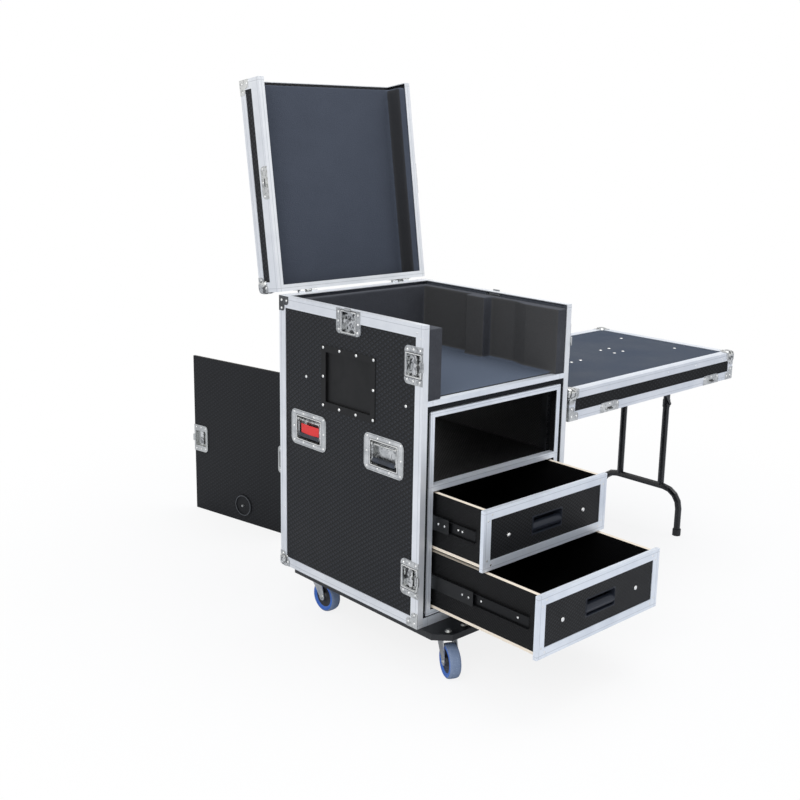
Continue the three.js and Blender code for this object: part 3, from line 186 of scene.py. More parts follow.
for lamp_name, place, aim, size, power in (
    ("soft_lamp_left", (-4.2, -2.6, 3.6), (-0.5, -0.3, 0.6), 3.2, 85.0),
    ("soft_lamp_above", (0.6, -0.6, 4.6), (0.0, -0.3, 0.5), 3.6, 80.0),
):
    lamp = bpy.data.lights.new(lamp_name, "AREA")
    lamp.shape, lamp.size, lamp.energy = "DISK", size, power
    stand = bpy.data.objects.new(lamp_name, lamp)
    bpy.context.scene.collection.objects.link(stand)
    stand.location = place
    stand.rotation_euler = (Vector(aim) - Vector(place)).to_track_quat("-Z", "Y").to_euler()


# The camera stands in front of the case and to its left, at head height.
# Its place and turn were found from the corners of the body in the photograph,
# measured from the middle of the case's front face on the floor.
board_step = 0.088
board_low, board_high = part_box("caster_board")
case_middle = (board_low.x + board_high.x) / 2
case_front = board_low.y + board_step


def on_case(points):
    """Metres in the frame, from millimetres measured from the middle of the case's front face on the floor."""
    return np.asarray(points, float) / 1000 + np.array([case_middle, case_front, 0.0])


picture_side, focal_pixels, sensor = 800, 1131.1, 36.0
yaw, pitch, roll = np.radians([43.66, 13.12, 1.32])
forward = np.array([np.sin(yaw) * np.cos(pitch), np.cos(yaw) * np.cos(pitch), -np.sin(pitch)])
level = np.array([np.cos(yaw), -np.sin(yaw), 0.0])
plumb = np.cross(level, forward)
rightward = np.cos(roll) * level + np.sin(roll) * plumb
upward = np.cos(roll) * plumb - np.sin(roll) * level
lens = bpy.data.cameras.new("camera")
lens.sensor_width = sensor
lens.lens = focal_pixels / picture_side * sensor
lens.shift_x, lens.shift_y = -27.5 / picture_side, -21.3 / picture_side
lens.clip_end = 60.0
camera = bpy.data.objects.new("camera", lens)
bpy.context.scene.collection.objects.link(camera)
turn = np.eye(4)
turn[:3, 0], turn[:3, 1], turn[:3, 2] = rightward, upward, -forward
turn[:3, 3] = on_case((-2291.1, -2103.9, 1536.5))
camera.matrix_world = Matrix(turn.tolist())
bpy.context.scene.camera = camera
bpy.context.scene.view_settings.view_transform = "Standard"


# The laminated panels: the case's sides and back, the lid, the drawers' fronts
# and the loose rear panel. Birch plywood faced with a charcoal phenolic sheet
# that is pressed into a fine lattice of raised lozenges; the cut edges stay bare.
def shared_group(name, **inputs):
    """A shader node group, and its inputs, which are numbers with those defaults, as wires."""
    made = bpy.data.node_groups.new(name, "ShaderNodeTree")
    for label, value in inputs.items():
        made.interface.new_socket(name=label, in_out="INPUT", socket_type="NodeSocketFloat").default_value = value
    source = made.nodes.new("NodeGroupInput")
    return made, {label: Wire(source.outputs[label]) for label in inputs}


def group_gives(made, **results):
    """The group's outputs: a mixed colour as a colour, a wire as a number."""
    for label, value in results.items():
        kind = "NodeSocketFloat" if isinstance(value, Wire) else "NodeSocketColor"
        made.interface.new_socket(name=label, in_out="OUTPUT", socket_type=kind)
    target = made.nodes.new("NodeGroupOutput")
    for label, value in results.items():
        join(target.inputs[label], value)


def use_group(tree, group, **sockets):
    """The group placed in a tree, as its outputs by name."""
    made = put(tree, "Group", {"node_tree": group}, **sockets)
    return {socket.name: Wire(socket) for socket in made.outputs}


def xyz(point):
    """The three numbers of a vector."""
    parts = put(point.id_data, "SeparateXYZ", Vector=point)
    return [Wire(parts.outputs[axis]) for axis in "XYZ"]


# Facing: how much the surface faces along each axis of the piece, as three masks.
facing = shared_group("facing")[0]
normal = xyz(put(facing, "TexCoord").outputs["Normal"])
group_gives(facing, **{axis: abs(part) > 0.7 for axis, part in zip("XYZ", normal)})

# Lozenges: on each flat face two families of slanting lines, a = u / width + v / height and
# b = u / width - v / height. The relief follows the smaller distance of a / 2 and b / 2 to a whole number.
lozenges, given = shared_group("pressed_lozenges", Width=0.011, Height=0.0075)
x, y, z = xyz(object_point(lozenges))
side = use_group(lozenges, facing)
u = (y * side["X"] + x * (1 - side["X"])) / given["Width"]
v = (y * side["Z"] + z * (1 - side["Z"])) / given["Height"]
slopes = [(line * 0.5).step("PINGPONG", 0.5) for line in (u + v, u - v)]
low_line = slopes[0].step("MINIMUM", slopes[1])
group_gives(lozenges, Relief=ramp(low_line, 0.03, 0.2), Crown=ramp(low_line, 0.2, 0.42))

# Handling: broad, faint smears and fine dust that vary a surface's gloss and tone.
handling, given = shared_group("handling_marks", Size=6.0)
smear = ramp(noise(handling, given["Size"], 5.0, Roughness=0.6), 0.35, 0.7, kind="LINEAR")
group_gives(handling, Smear=smear, Dust=ramp(noise(handling, 420.0), 0.55, 0.8, kind="LINEAR"))

# Painted reflections: dark shapes painted into polished metal's colour for what it would mirror from round about.
surroundings, given = shared_group("surroundings", Size=90.0)
group_gives(surroundings, Dark=ramp(noise(surroundings, given["Size"], 1.5, Distortion=1.6), 0.5, 0.56))

# Ply edge: thin layers of birch, lighter and darker in turn, along the cut edge of a sheet.
ply_edge, given = shared_group("ply_layers", Layer=0.0015)
x, y, z = xyz(object_point(ply_edge))
layer = ((x + y + z) / given["Layer"]).step("PINGPONG", 1.0)
grain = noise(ply_edge, 160.0, 4.0, Roughness=0.65) * 0.6 + layer * 0.35
group_gives(ply_edge, Tone=mix(grain, "#fffaf0", "#ecd4b0"), Grain=grain)


def finish_paint(made, height, strength, depth, **sockets):
    """The material's one shader, with that height as a relief of that strength and depth, joined to its output."""
    tree = made.node_tree
    relief = put(tree, "Bump", Strength=strength, Distance=depth, Height=height)
    shader = put(tree, "BsdfPrincipled", Normal=relief.outputs[0], **sockets)
    put(tree, "OutputMaterial", Surface=shader.outputs[0])
    return made


wide_lozenge = {"Width": 0.011, "Height": 0.0075}
case_depth = 634


def laminate(name, dark, light, faces, lozenge, gloss=0.5, inner=None):
    """Pressed laminate on the faces that point along the given axes, bare ply on the sheet's other faces. With inner,
    that colour on the faces that look toward the middle of the case: a painted lightening of their shade."""
    made, tree = new_paint(name)
    press = use_group(tree, lozenges, **lozenge)
    smear = use_group(tree, handling, Size=5.0)["Smear"]
    side = use_group(tree, facing)
    face = side[faces[0]]
    for axis in faces[1:]:
        face = face | side[axis]
    tone = mix(smear * 0.12, mix(press["Crown"], dark, light), light)
    tone = mix(face, use_group(tree, ply_edge)["Tone"], tone)
    if inner:
        centre = (case_middle, case_front + case_depth / 2000, 0.0)
        outward = vectors("SUBTRACT", object_point(tree), centre)
        turned_out = vectors("DOT_PRODUCT", outward, put(tree, "TexCoord").outputs["Normal"])
        tone = mix(turned_out < 0.0, tone, inner)
    return finish_paint(made, press["Relief"] * face, 0.9, 0.0009, Base_Color=tone, Roughness=smear * 0.12 + gloss,
                        Specular_IOR_Level=0.24)


def dress(material, *names):
    """The material takes the place of what the named pieces of the frame came with."""
    for name in names:
        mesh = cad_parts[name].data
        mesh.materials.clear()
        mesh.materials.append(material)


# The inward faces get a lighter grey than the charcoal: painted light that lifts the shade inside the case.
charcoal, inward_painted_light = ("#131416", "#303338"), "#5c6068"
side_laminate = laminate("charcoal_laminate_sides", *charcoal, "X", wide_lozenge, inner=inward_painted_light)
dress(side_laminate, "left_side_panel", "right_side_panel")
dress(laminate("charcoal_laminate_back", *charcoal, "Y", wide_lozenge, inner=inward_painted_light), "rear_upper_panel")
dress(laminate("charcoal_laminate_lid", *charcoal, "XYZ", wide_lozenge), "lid_shell")


# The caster board: a plate of black film-faced ply that stands out in front of
# the case as a step. Four zinc mounting plates are bolted up under it, and the
# coach bolts come through the top with star washers under their heads.
def between(value, low, high):
    """1 where the value lies between low and high, otherwise 0."""
    return (value > low) * (value < high)


def metal_finish(marks, colour, shade, rough, speckle=0.25):
    """Colour and roughness of a plated or anodised metal: two close tones in smears, duller where it is handled."""
    return mix(marks["Dust"] * speckle + marks["Smear"] * 0.6, colour, shade), marks["Smear"] * 0.14 + rough


def case_point(tree):
    """The point's place in metres from the middle of the case's front face on the floor."""
    return vectors("SUBTRACT", object_point(tree), (case_middle, case_front, 0.0))


def zinc_plate(name, colour="#c9cac6", shade="#8d8f8e", rough=0.26, painted_mirroring=0.0, below=None, painted_dark=None):
    """Zinc-plated steel: a bright crystalline skin with a fine spangle, and painted reflections of dark surroundings,
    as strong as asked; with below, only where it lies less than that far out from the case's middle plane, in metres.
    A mask of (y, z) marks the folds, where shade is painted in dark."""
    made, tree = new_paint(name)
    tone, gloss = metal_finish(use_group(tree, handling, Size=30.0), colour, shade, rough)
    # Dark shapes painted in as reflections of the surroundings.
    if painted_mirroring:
        amount = use_group(tree, surroundings, Size=52.0)["Dark"] * painted_mirroring
        if below:
            amount = amount * (abs(xyz(case_point(tree))[0]) < below)
        tone = mix(amount, tone, "#2c2e31")
    # Shade painted dark into the folds.
    if painted_dark:
        tone = mix(painted_dark(*xyz(case_point(tree))[1:]) * 0.6, tone, "#26282a")
    spangle = put(tree, "TexVoronoi", Vector=object_point(tree), Scale=220.0).outputs["Distance"]
    return finish_paint(made, spangle, 0.12, 0.0003, Base_Color=tone, Roughness=gloss, Metallic=0.92)


zinc = zinc_plate("zinc_plate")

board_paint, tree = new_paint("black_board_and_zinc_plates")
plates = xyz(object_point(tree))[2] < 0.12795
marks = use_group(tree, handling, Size=9.0)
skin = metal_finish(marks, "#c4c6c4", "#8f918f", 0.3)[0]
board_tone = mix(plates, mix(marks["Smear"], "#0e0f11", "#202225"), skin)
finish_paint(board_paint, noise(tree, 700.0), 0.25, 0.0004, Base_Color=board_tone, Metallic=plates * 0.9,
             Roughness=marks["Smear"] * 0.15 + 0.38)
dress(board_paint, "caster_board")


def square_pair(axes):
    """Two unit vectors square to each axis and to one another; the first is square to z too, or to x near z."""
    helper = np.where(np.abs(axes[..., 2:]) > 0.9, [1.0, 0, 0], [0, 0, 1.0])
    a = np.cross(helper, axes)
    a /= np.linalg.norm(a, axis=-1, keepdims=True)
    return a, np.cross(axes, a)


def fixed(piece, body, material):
    """The piece gets its material and moves with that body of the frame."""
    piece.data.materials.clear()
    piece.data.materials.append(material)
    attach(piece, body)
    return piece


def domes(name, body, metal, places, outward, radius=0.004, height=0.0022, rings=2, sides=10, foot=0.0):
    """Domed heads on a body, as one mesh: ring k of each has the radius r cos(t) and the height h sin(t) for t from 0
    to 90 degrees. Every head also has a skirt that goes foot deep below its seat, and a closed underside."""
    places, outward = np.atleast_2d(places), np.atleast_2d(outward).astype(float)
    outward = np.broadcast_to(outward, places.shape) / np.linalg.norm(outward, axis=-1, keepdims=True)
    a, b = square_pair(outward)
    t = np.linspace(0, np.pi / 2, rings + 1)[:-1]
    radii = np.concatenate([[radius], radius * np.cos(t)])
    heights = np.concatenate([[-foot - 1e-5], height * np.sin(t)])
    turn = np.arange(sides) * 2 * np.pi / sides
    circle = a[:, None, :] * np.cos(turn)[None, :, None] + b[:, None, :] * np.sin(turn)[None, :, None]
    shell = places[:, None, None, :] + circle[:, None] * radii[None, :, None, None] \
        + outward[:, None, None, :] * heights[None, :, None, None]
    tips = places + outward * height
    points = np.concatenate([shell.reshape(len(places), -1, 3), tips[:, None, :]], 1)
    per_head, last = points.shape[1], rings * sides
    quads = np.array(grid_faces(rings + 1, sides, closed_across=True))
    j = np.arange(sides)
    caps = np.stack([last + j, last + (j + 1) % sides, np.full(sides, per_head - 1)], -1)
    start = np.arange(len(places))[:, None, None] * per_head
    faces = (quads[None] + start).reshape(-1, 4).tolist() + (caps[None] + start).reshape(-1, 3).tolist() \
        + (j[::-1][None] + start[:, 0]).tolist()
    return fixed(mesh_object(name, points, faces, smooth=True), body, metal)


board_top = 146
bolt_places = on_case([(side * 210 + across, -62, board_top) for side in (-1, 1) for across in (-30, 30)])
domes("board_bolt_washers", "case", zinc, bolt_places, (0, 0, 1), 0.0105, 0.0016, 1, 16)
domes("board_bolt_heads", "case", zinc, bolt_places + [0, 0, 0.0012], (0, 0, 1), 0.0075, 0.0042, 3, 12)


# Four swivel castors: a pressed zinc fork under a ball race, and a cast blue
# wheel body with a hard black hub and a worn grey rubber tread. The wheel turns
# on a bolt that is closed with a nut on the other side of the fork.
castors = {"front_left": (-210, -25, 245.4), "front_right": (210, -25, 300.0),
           "rear_left": (-210, 550, 270.0), "rear_right": (210, 550, 250.0)}
dress(zinc_plate("zinc_forks", "#c6c8c8", "#83868a", 0.3), *[f"{castor}_fork" for castor in castors])


def wheel_paint(name, centre, axle):
    """Zones by the distance from the axle: hub, blue body, tread. The distance is the length of the part of
    (point - centre) that is square to the axle."""
    made, tree = new_paint(name)
    arm = vectors("SUBTRACT", object_point(tree), tuple(centre))
    reach = vectors("LENGTH", vectors("CROSS_PRODUCT", arm, tuple(axle)))
    marks = use_group(tree, handling, Size=28.0)
    outer, hub, steel = reach > 0.0452, reach < 0.0338, reach < 0.0085
    blue, tread = mix(marks["Smear"], "#2f66c4", "#4379cf"), mix(marks["Dust"], "#7d8eaa", "#a8b5ca")
    tone = mix(steel, mix(hub, mix(outer, blue, tread), "#1b1c20"), "#b4b6b6")
    ribs = (reach * 160.0).step("PINGPONG", 0.5)
    return finish_paint(made, ribs, 0.3, 0.0006, Base_Color=tone, Metallic=steel * 0.9, Roughness=outer * 0.25 + 0.42)


def lathe(name, centre, axis, profile, sides):
    """A closed turned body: each (radius, height) of the profile goes round the axis, and the profile is a loop."""
    axis = np.asarray(axis, float) / np.linalg.norm(axis)
    a, b = square_pair(axis)
    t = np.arange(sides) * 2 * np.pi / sides
    profile = np.asarray(profile, float)
    points = np.asarray(centre) + profile[:, None, :1] * (a * np.cos(t)[:, None] + b * np.sin(t)[:, None]) \
        + profile[:, None, 1:] * axis
    return mesh_object(name, points, grid_faces(len(profile), sides, True, True), smooth=True)


wheel_half = [(5.6, -17.8), (13, -17.8), (14.5, -16.6), (16, -13), (19, -12.3), (33, -12.3), (36, -13.5), (38, -16.6),
              (40, -17), (44.6, -17), (45.2, -16.4), (48.4, -14), (49.7, -10), (50, -5)]
wheel_section = np.array(wheel_half + [(radius, -along) for radius, along in wheel_half[::-1]])[::-1] / 1000
for castor, (x, y, angle) in castors.items():
    angle = np.radians(angle)
    trail, axle = np.array([np.cos(angle), np.sin(angle), 0]), np.array([np.sin(angle), -np.cos(angle), 0])
    hub_middle = on_case((x, y, 50)) + 0.035 * trail
    wheel = lathe(f"{castor}_rubber_wheel", hub_middle, axle, wheel_section, 48)
    fixed(wheel, f"{castor}_wheel_body", wheel_paint(f"{castor}_wheel_paint", hub_middle, axle))
    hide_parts(f"{castor}_wheel")
    ways = np.array([-axle, axle])
    nuts, bolt_ends = hub_middle + 0.0215 * ways, hub_middle + 0.0238 * ways
    domes(f"{castor}_axle_nuts", f"{castor}_caster", zinc, nuts, ways, 0.0085, 0.0045, 1, 6, 0.001)
    domes(f"{castor}_axle_bolt_ends", f"{castor}_caster", zinc, bolt_ends, ways, 0.0052)


# The aluminium edges: extruded angles, satin anodised, that cover every edge of the case. A shallow groove
# runs along each face beside the corner, painted as a dark line of shade. The pressed dishes and corner
# plates riveted over them are bright zinc, with painted reflections and painted shade in their folds.
half_width, body_top, lid_top = 300, 1002, 1100


def blend(amount, first, second):
    """The first number where the amount is 0, the second where it is 1."""
    return Wire(put(amount.tree, "Mix", {"data_type": "FLOAT"}, in0=amount, in2=first, in3=second).outputs[0])


def edge_metal(name, plated, shades, grooves, coordinates=object_point, painted_dark=None):
    """Anodised aluminium, with plating where the mask plated(x, y, z) says, in metres from the middle of the case's
    front face on the floor. A groove, painted as a dark line of shade, is where one of them is close to a value. A
    further mask of (x, y, z) marks what is painted dark on the plates: shade in folds and slots, a reflection
    elsewhere."""
    made, tree = new_paint(name)
    x, y, z = xyz(vectors("SUBTRACT", coordinates(tree), (case_middle, case_front, 0.0)))
    marks = use_group(tree, handling, Size=7.0)
    # The grooves: dark lines painted in as the grooves' shade.
    line = None
    for value, place in [(given, place) for given, places in zip((x, y, z), grooves) for place in places]:
        painted_groove_shade = abs(value - place / 1000) < 0.0009
        line = painted_groove_shade if line is None else line | painted_groove_shade
    tone, gloss = metal_finish(marks, *shades, 0.38, 0.12)
    tone, metallic = mix(line * 0.3, tone, "#6d727a"), 0.5
    if plated:
        mask = plated(x, y, z)
        bright, bright_gloss = metal_finish(marks, "#dcdddb", "#8b8e91", 0.18, 0.5)
        # Painted reflections of dark surroundings on the plates, stronger in the sunk pockets, where they stand in for
        # shade too.
        pocket_painted_shade = (abs(x) < 0.2979) * 0.6 + 0.3
        bright = mix(use_group(tree, surroundings, Size=58.0)["Dark"] * pocket_painted_shade, bright, "#27292c")
        # Painted dark on the plates: shade in folds and slots, a reflection on the upper corner plates.
        if painted_dark:
            bright = mix(painted_dark(x, y, z) * 0.8, bright, "#1f2123")
        tone, gloss, metallic = mix(mask, tone, bright), blend(mask, gloss, bright_gloss), mask * 0.4 + 0.5
    drawn = None
    for stretch in ((2.0, 900.0, 900.0), (900.0, 2.0, 900.0), (900.0, 900.0, 2.0)):
        stretched = put(tree, "Mapping", Vector=object_point(tree), Scale=stretch).outputs[0]
        streak = Wire(put(tree, "TexNoise", Vector=stretched, Scale=1.0, Detail=1.0).outputs["Fac"])
        drawn = streak if drawn is None else drawn + streak
    return finish_paint(made, drawn, 0.1, 0.0002, Base_Color=tone, Roughness=gloss, Metallic=metallic)


def side_plates(x, y, z):
    """Plated outside the edges' own faces, and in the latches' pockets behind them."""
    return (abs(x) > 0.3003) | ((abs(x) < 0.2979) * ((y > 0.0025) * between(z, 0.1485, 0.9995)))


def apart(value, *places):
    """How far the value is from the nearest of the places."""
    near = abs(value - places[0])
    for place in places[1:]:
        near = near.step("MINIMUM", abs(value - place))
    return near


def outline_of(across, up, half_across, half_up, line=0.0009):
    """1 on a line along the rectangle with those half sides: where the larger of across - half_across and
    up - half_up is within the line's width of zero."""
    return between((across - half_across) | (up - half_up), -line, line)


def latch_crease_shade(x, y, z):
    """Painted shade in the folds round the cover latches' pockets at the front edge and the lid latch's under the rim.
    """
    return outline_of(apart(z, 0.89, 0.287), apart(y, 0.037), 0.0345, 0.0335) \
        | outline_of(apart(y, 0.309), apart(z, 0.965), 0.0345, 0.0335)


def rear_plates(x, y, z):
    """Plated where the ball corners, corner plates and hinges stand proud of the edges."""
    return (abs(x) > 0.3003) | ((y > 0.6343) | (z < 0.1457))


def upper_corner_reflection(x, y, z):
    """The upper corner plates, painted dark as the reflection of the dark lid above them."""
    return (abs(x) > 0.3003) * (z > 0.9)


# The front trims get a lighter, bluer copy of the silver: painted light for the sky on the faces that look forward.
silver, front_lit_silver = ("#eceef0", "#cfd3d8"), ("#eef2f7", "#ccd4dd")
dress(edge_metal("edge_aluminium_sides", side_plates, silver, ((), (10,), (156, 992)), painted_dark=latch_crease_shade),
      "left_trim_frame", "right_trim_frame")
dress(edge_metal("edge_aluminium_rear", rear_plates, silver, ((-290, 290), (624,), (156, 992)),
                 painted_dark=upper_corner_reflection), "rear_trim_frame")
dress(edge_metal("edge_aluminium_front", None, front_lit_silver, ((-261, 261), (), (182, 551, 757))),
      "front_sill_trim", "tray_front_trim", "sleeve_trim")


# The rivets: bright plated domes, most of them 8 mm across, that hold every pressed
# plate to the ply. Each plate of a kind has its rivets at the same places, given
# along and across it. The rims of the pressed dishes are rolled over a round bar.
rivet_metal = zinc_plate("bright_rivets", "#f0f0ee", "#c4c6c6", 0.22)


def on_plate(origin, along, across, places, lift=1.5, out=None):
    """Points on a plate: origin + u along + v across, lifted off the case along out, which is the cross product of
    along and across where it isn't given. Millimetres in, metres out, and the way the plate faces."""
    along, across = np.asarray(along, float), np.asarray(across, float)
    out = np.cross(along, across) if out is None else np.asarray(out, float)
    uv = np.asarray(places, float)
    return on_case(np.asarray(origin) + uv[:, :1] * along + uv[:, 1:] * across + lift * out), \
        np.broadcast_to(out, (len(uv), 3))


def gathered(pairs):
    """The places and the ways of several plates, each as one array."""
    return [np.concatenate(part) for part in zip(*pairs)]


def bars(name, starts, ends, radius, sides=8):
    """Round bars as one mesh: each a closed prism from its start to its end, with its corners on a circle."""
    axis = (ends - starts) / np.linalg.norm(ends - starts, axis=1, keepdims=True)
    a, b = square_pair(axis)
    turn = np.arange(sides) * 2 * np.pi / sides
    circle = radius * (a[:, None] * np.cos(turn)[None, :, None] + b[:, None] * np.sin(turn)[None, :, None])
    points = np.concatenate([starts[:, None] + circle, ends[:, None] + circle], 1)
    j = np.arange(sides)
    around = np.array(grid_faces(2, sides, closed_across=True))
    faces = []
    for base in 2 * sides * np.arange(len(starts)):
        faces += (around + base).tolist() + [(j[::-1] + base).tolist(), (j + base + sides).tolist()]
    return mesh_object(name, points, faces)


def rounded_rim(half_long, half_across, middle=0.0, cut=3.5):
    """The corners of a rectangle with cut corners, about a middle across it."""
    corners = [(half_long - cut, -half_across), (half_long, cut - half_across)]
    quarter = corners + [(u, -v) for u, v in corners[::-1]]
    return [(u, v + middle) for u, v in quarter + [(-u, -v) for u, v in quarter]]


def side_heads(inset, places):
    """Places (y, z) on both sides of the case, at that inset from its full width, and the ways they face."""
    return gathered([on_plate((side * (half_width - inset), 0, 0), (0, 1, 0), (0, 0, 1), places, 0.0, (side, 0, 0))
                     for side in (-1, 1)])


latch_rim, handle_rim = rounded_rim(31.6, 30.6, 37, 2.6), rounded_rim(57.5, 36.5)
latch_rivets = [(-43, 11), (43, 11), (-43, 37), (43, 37), (-41, 61), (41, 61)]
handle_rivets = [(u, v) for v in (-44, 44) for u in (-70, -25, 25, 70)] + [(-71, 0), (71, 0)]
label_rivets = [(u, v) for v in (-86, 86) for u in (-111.5, -37, 37, 111.5)] + [(-111.5, 0), (111.5, 0)]
guard_rivets = [(13, 13), (37, 13), (13, 37)]
hinge_rivets, side_bolts = [(-24, 0), (24, 0)], [(505, 774), (67, 772)]
edge_rivets = [(613, 810), (613, 652), (613, 494), (613, 338), (224, 170), (406, 170), (26, 979), (13, 964)]
back, left_and_right = (0, 1, 0), (("left", -1), ("right", 1))
rivets, rims = [], []
for side_name, side in left_and_right:
    out, aft, fore, inward = (side, 0, 0), (0, 1, 0), (0, -1, 0), (-side, 0, 0)
    latches = [((side * half_width, 0, z), (0, 0, -side), aft) for z in (890, 287)] \
        + [((side * half_width, 309, body_top), (0, -side, 0), (0, 0, -1))]
    handles = [((side * (half_width - 2), y, 612), (0, side, 0), (0, 0, 1)) for y in (154, 493)]
    for plates, places, rim in ((latches, latch_rivets, latch_rim), (handles, handle_rivets, handle_rim)):
        rivets += [on_plate(*plate, places) for plate in plates]
        rims += [on_plate(*plate, rim)[0] for plate in plates]
    for y, z, along, upward, way in ((0, board_top, aft, 1, out), (case_depth, board_top, fore, 1, out),
                                     (case_depth, body_top, fore, -1, out), (case_depth, board_top, inward, 1, back),
                                     (case_depth, body_top, inward, -1, back)):
        rivets.append(on_plate((side * half_width, y, z), along, (0, 0, upward), guard_rivets, out=way))
rivets += [on_plate((x, case_depth, 988), (1, 0, 0), (0, 0, 1), hinge_rivets, out=back) for x in (-190, 190)]
domes("case_rivets", "case", rivet_metal, *gathered(rivets))
domes("side_bolts", "case", rivet_metal, *side_heads(2, side_bolts), 0.0048, 0.0024, 2, 12)
label_heads = on_plate((2 - half_width, 312.5, 790), (0, -1, 0), (0, 0, 1), label_rivets, 1.2)
domes("label_dish_rivets", "case", rivet_metal, *label_heads, 0.0048, sides=12)
fixed(bars("rolled_rims", np.concatenate(rims), np.concatenate([np.roll(rim, -1, axis=0) for rim in rims]), 0.0014),
      "case", rivet_metal)
domes("case_edge_rivets", "case", rivet_metal, *side_heads(0, edge_rivets), 0.0028, 0.0012, 2, 8, 0.0002)


def closed_strip(name, points, smooth=False):
    """A closed strip: rings of points along it, joined one to the next, and a flat face over each end ring."""
    rings, count = points.shape[:2]
    ends = [list(range(count)), [(rings - 1) * count + k for k in range(count)][::-1]]
    return mesh_object(name, points, grid_faces(rings, count, closed_across=True) + ends, smooth)


def ball_corner(name, body, corner, outward, place=on_case):
    """A pressed ball corner. Its surface is |x|^3.5 + |y|^3.5 + |z|^3.5 = 22^3.5 in millimetres about a point 16
    inside each of the three faces that meet there; its back is brought up to 10 below the nearest of those faces."""
    radius, depth, power = 22, 16, 3.5
    rows, columns = np.meshgrid(np.linspace(0.03, np.pi - 0.03, 19), np.arange(28) * 2 * np.pi / 28, indexing="ij")
    ray = np.stack([np.sin(rows) * np.cos(columns), np.sin(rows) * np.sin(columns), np.cos(rows)], -1)
    skin = radius * ray / (np.abs(ray) ** power).sum(-1, keepdims=True) ** (1 / power)
    skin = skin + np.maximum(depth - 10 - skin.max(-1, keepdims=True), 0)
    points = place((skin - depth) * np.asarray(outward) + corner)
    return fixed(closed_strip(name, points, smooth=True), body, ball_zinc)


# Bright zinc with strong painted reflections of dark surroundings.
ball_zinc = zinc_plate("zinc_ball_corners", "#dcdddb", "#8b8e91", 0.2, 0.8)
for side_name, side in left_and_right:
    ball_corner(f"case_{side_name}_ball_corner", "case", (side * half_width, case_depth, board_top), (side, 1, -1))


# The inside of the body: black film-faced ply for the floor, the shelf and the
# sleeve that carries the rack gear and the drawers. The board that closes the
# tray from below is the same sheet; only the sawn ends show the birch layers.
board_inside = laminate("black_film_inside", "#060607", "#101113", "XZ", {"Width": 0.006, "Height": 0.0045}, 0.42)
dress(board_inside, "inner_sleeve", "base_panel", "tray_floor_panel")


# The foam lining: slabs of firm open-cell foam, cut with a hot wire and glued in,
# with worn corners and faces that swell a little. The tray has a floor and shaped
# walls, the lid a slab and one wall, and a jacket fills the room round the sleeve.
def foam_paint(name, dark, light, top, wall):
    """Open-cell foam: pores from two sizes of cells, darker inside them, with painted light on the upward faces (the
    colour top on the low ones, light on the high ones) and browner on the walls that face sideways."""
    made, tree = new_paint(name)
    cells = Wire(put(tree, "TexVoronoi", Vector=object_point(tree), Scale=520.0).outputs["Distance"])
    clouds, crumb = noise(tree, 11.0, 4.0, Roughness=0.6), noise(tree, 260.0, 3.0)
    tone = mix(use_group(tree, facing)["X"] * 0.75, mix(crumb * 0.5 + clouds * 0.5, dark, light), wall)
    # The upward faces take painted light from above: the colour top low down, light high up.
    upward_painted_light = ramp(xyz(put(tree, "TexCoord").outputs["Normal"])[2], 0.35, 0.95, 0.0, 0.9)
    tone = mix(upward_painted_light, tone, mix(xyz(object_point(tree))[2] < 0.9, light, top))
    tone = mix((cells < 0.22) * 0.35, tone, dark)
    return finish_paint(made, cells + crumb * 1.4, 0.55, 0.0012, Base_Color=tone, Roughness=0.95,
                        Specular_IOR_Level=0.15)


def foam_slab(name, node, body, paint, voxel, rounds=4, swell=0.0006):
    """The solid remeshed in even cells with its edges rounded by smoothing, then moved along its normals by
    swell * (sin(x / 0.045) + sin(y / 0.06) + sin(z / 0.05)) / 3 - swell, so that it stays inside the solid."""
    slab = bpy.data.objects.new(name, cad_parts[node].data.copy())
    bpy.context.scene.collection.objects.link(slab)
    cells = slab.modifiers.new("cells", "REMESH")
    cells.mode, cells.voxel_size = "VOXEL", voxel
    rounding = slab.modifiers.new("rounding", "SMOOTH")
    rounding.factor, rounding.iterations = 0.5, rounds
    finished = bpy.data.meshes.new_from_object(slab.evaluated_get(bpy.context.evaluated_depsgraph_get()))
    slab.modifiers.clear()
    slab.data = finished
    points, normals = (np.empty(len(finished.vertices) * 3) for _ in range(2))
    finished.vertices.foreach_get("co", points)
    finished.vertices.foreach_get("normal", normals)
    points, normals = points.reshape(-1, 3), normals.reshape(-1, 3)
    wave = np.sin(points / [0.045, 0.06, 0.05]).sum(1, keepdims=True) / 3
    finished.vertices.foreach_set("co", (points + normals * swell * (wave - 1)).ravel())
    finished.polygons.foreach_set("use_smooth", [True] * len(finished.polygons))
    finished.update()
    fixed(slab, body, paint)
    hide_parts(node)


# The third colour of each foam is the painted light on its low upward faces.
tray_foam = foam_paint("tray_foam", "#303135", "#55575c", "#5c6675", "#504f4d")
jacket_foam = foam_paint("jacket_foam", "#1a1b1e", "#26282c", "#26282c", "#222326")
lid_foam = foam_paint("lid_foam", "#424751", "#525863", "#565b66", "#35332f")
foam_slab("tray_foam_lining", "tray_foam", "case", tray_foam, 0.004, rounds=1)
foam_slab("shock_foam_jacket", "shock_foam", "case", jacket_foam, 0.006)
foam_slab("lid_foam_lining", "lid_foam", "lid", lid_foam, 0.006)


# The black fittings: the label dish, a pressing with a wide rolled flange, and
# the rack rails with the fixed slide members riveted to them, all steel under a
# satin black powder coat that is polished where gear slides past.
def black_coat(name, dark, light, rough):
    """Powder coat: two close blacks in smears, with the fine orange peel of the coat."""
    made, tree = new_paint(name)
    marks = use_group(tree, handling, Size=18.0)
    tone = mix(marks["Dust"] * 0.3 + marks["Smear"] * 0.6, dark, light)
    return finish_paint(made, noise(tree, 900.0), 0.15, 0.0003, Base_Color=tone,
                        Roughness=marks["Smear"] * 0.18 + rough, Specular_IOR_Level=0.3)


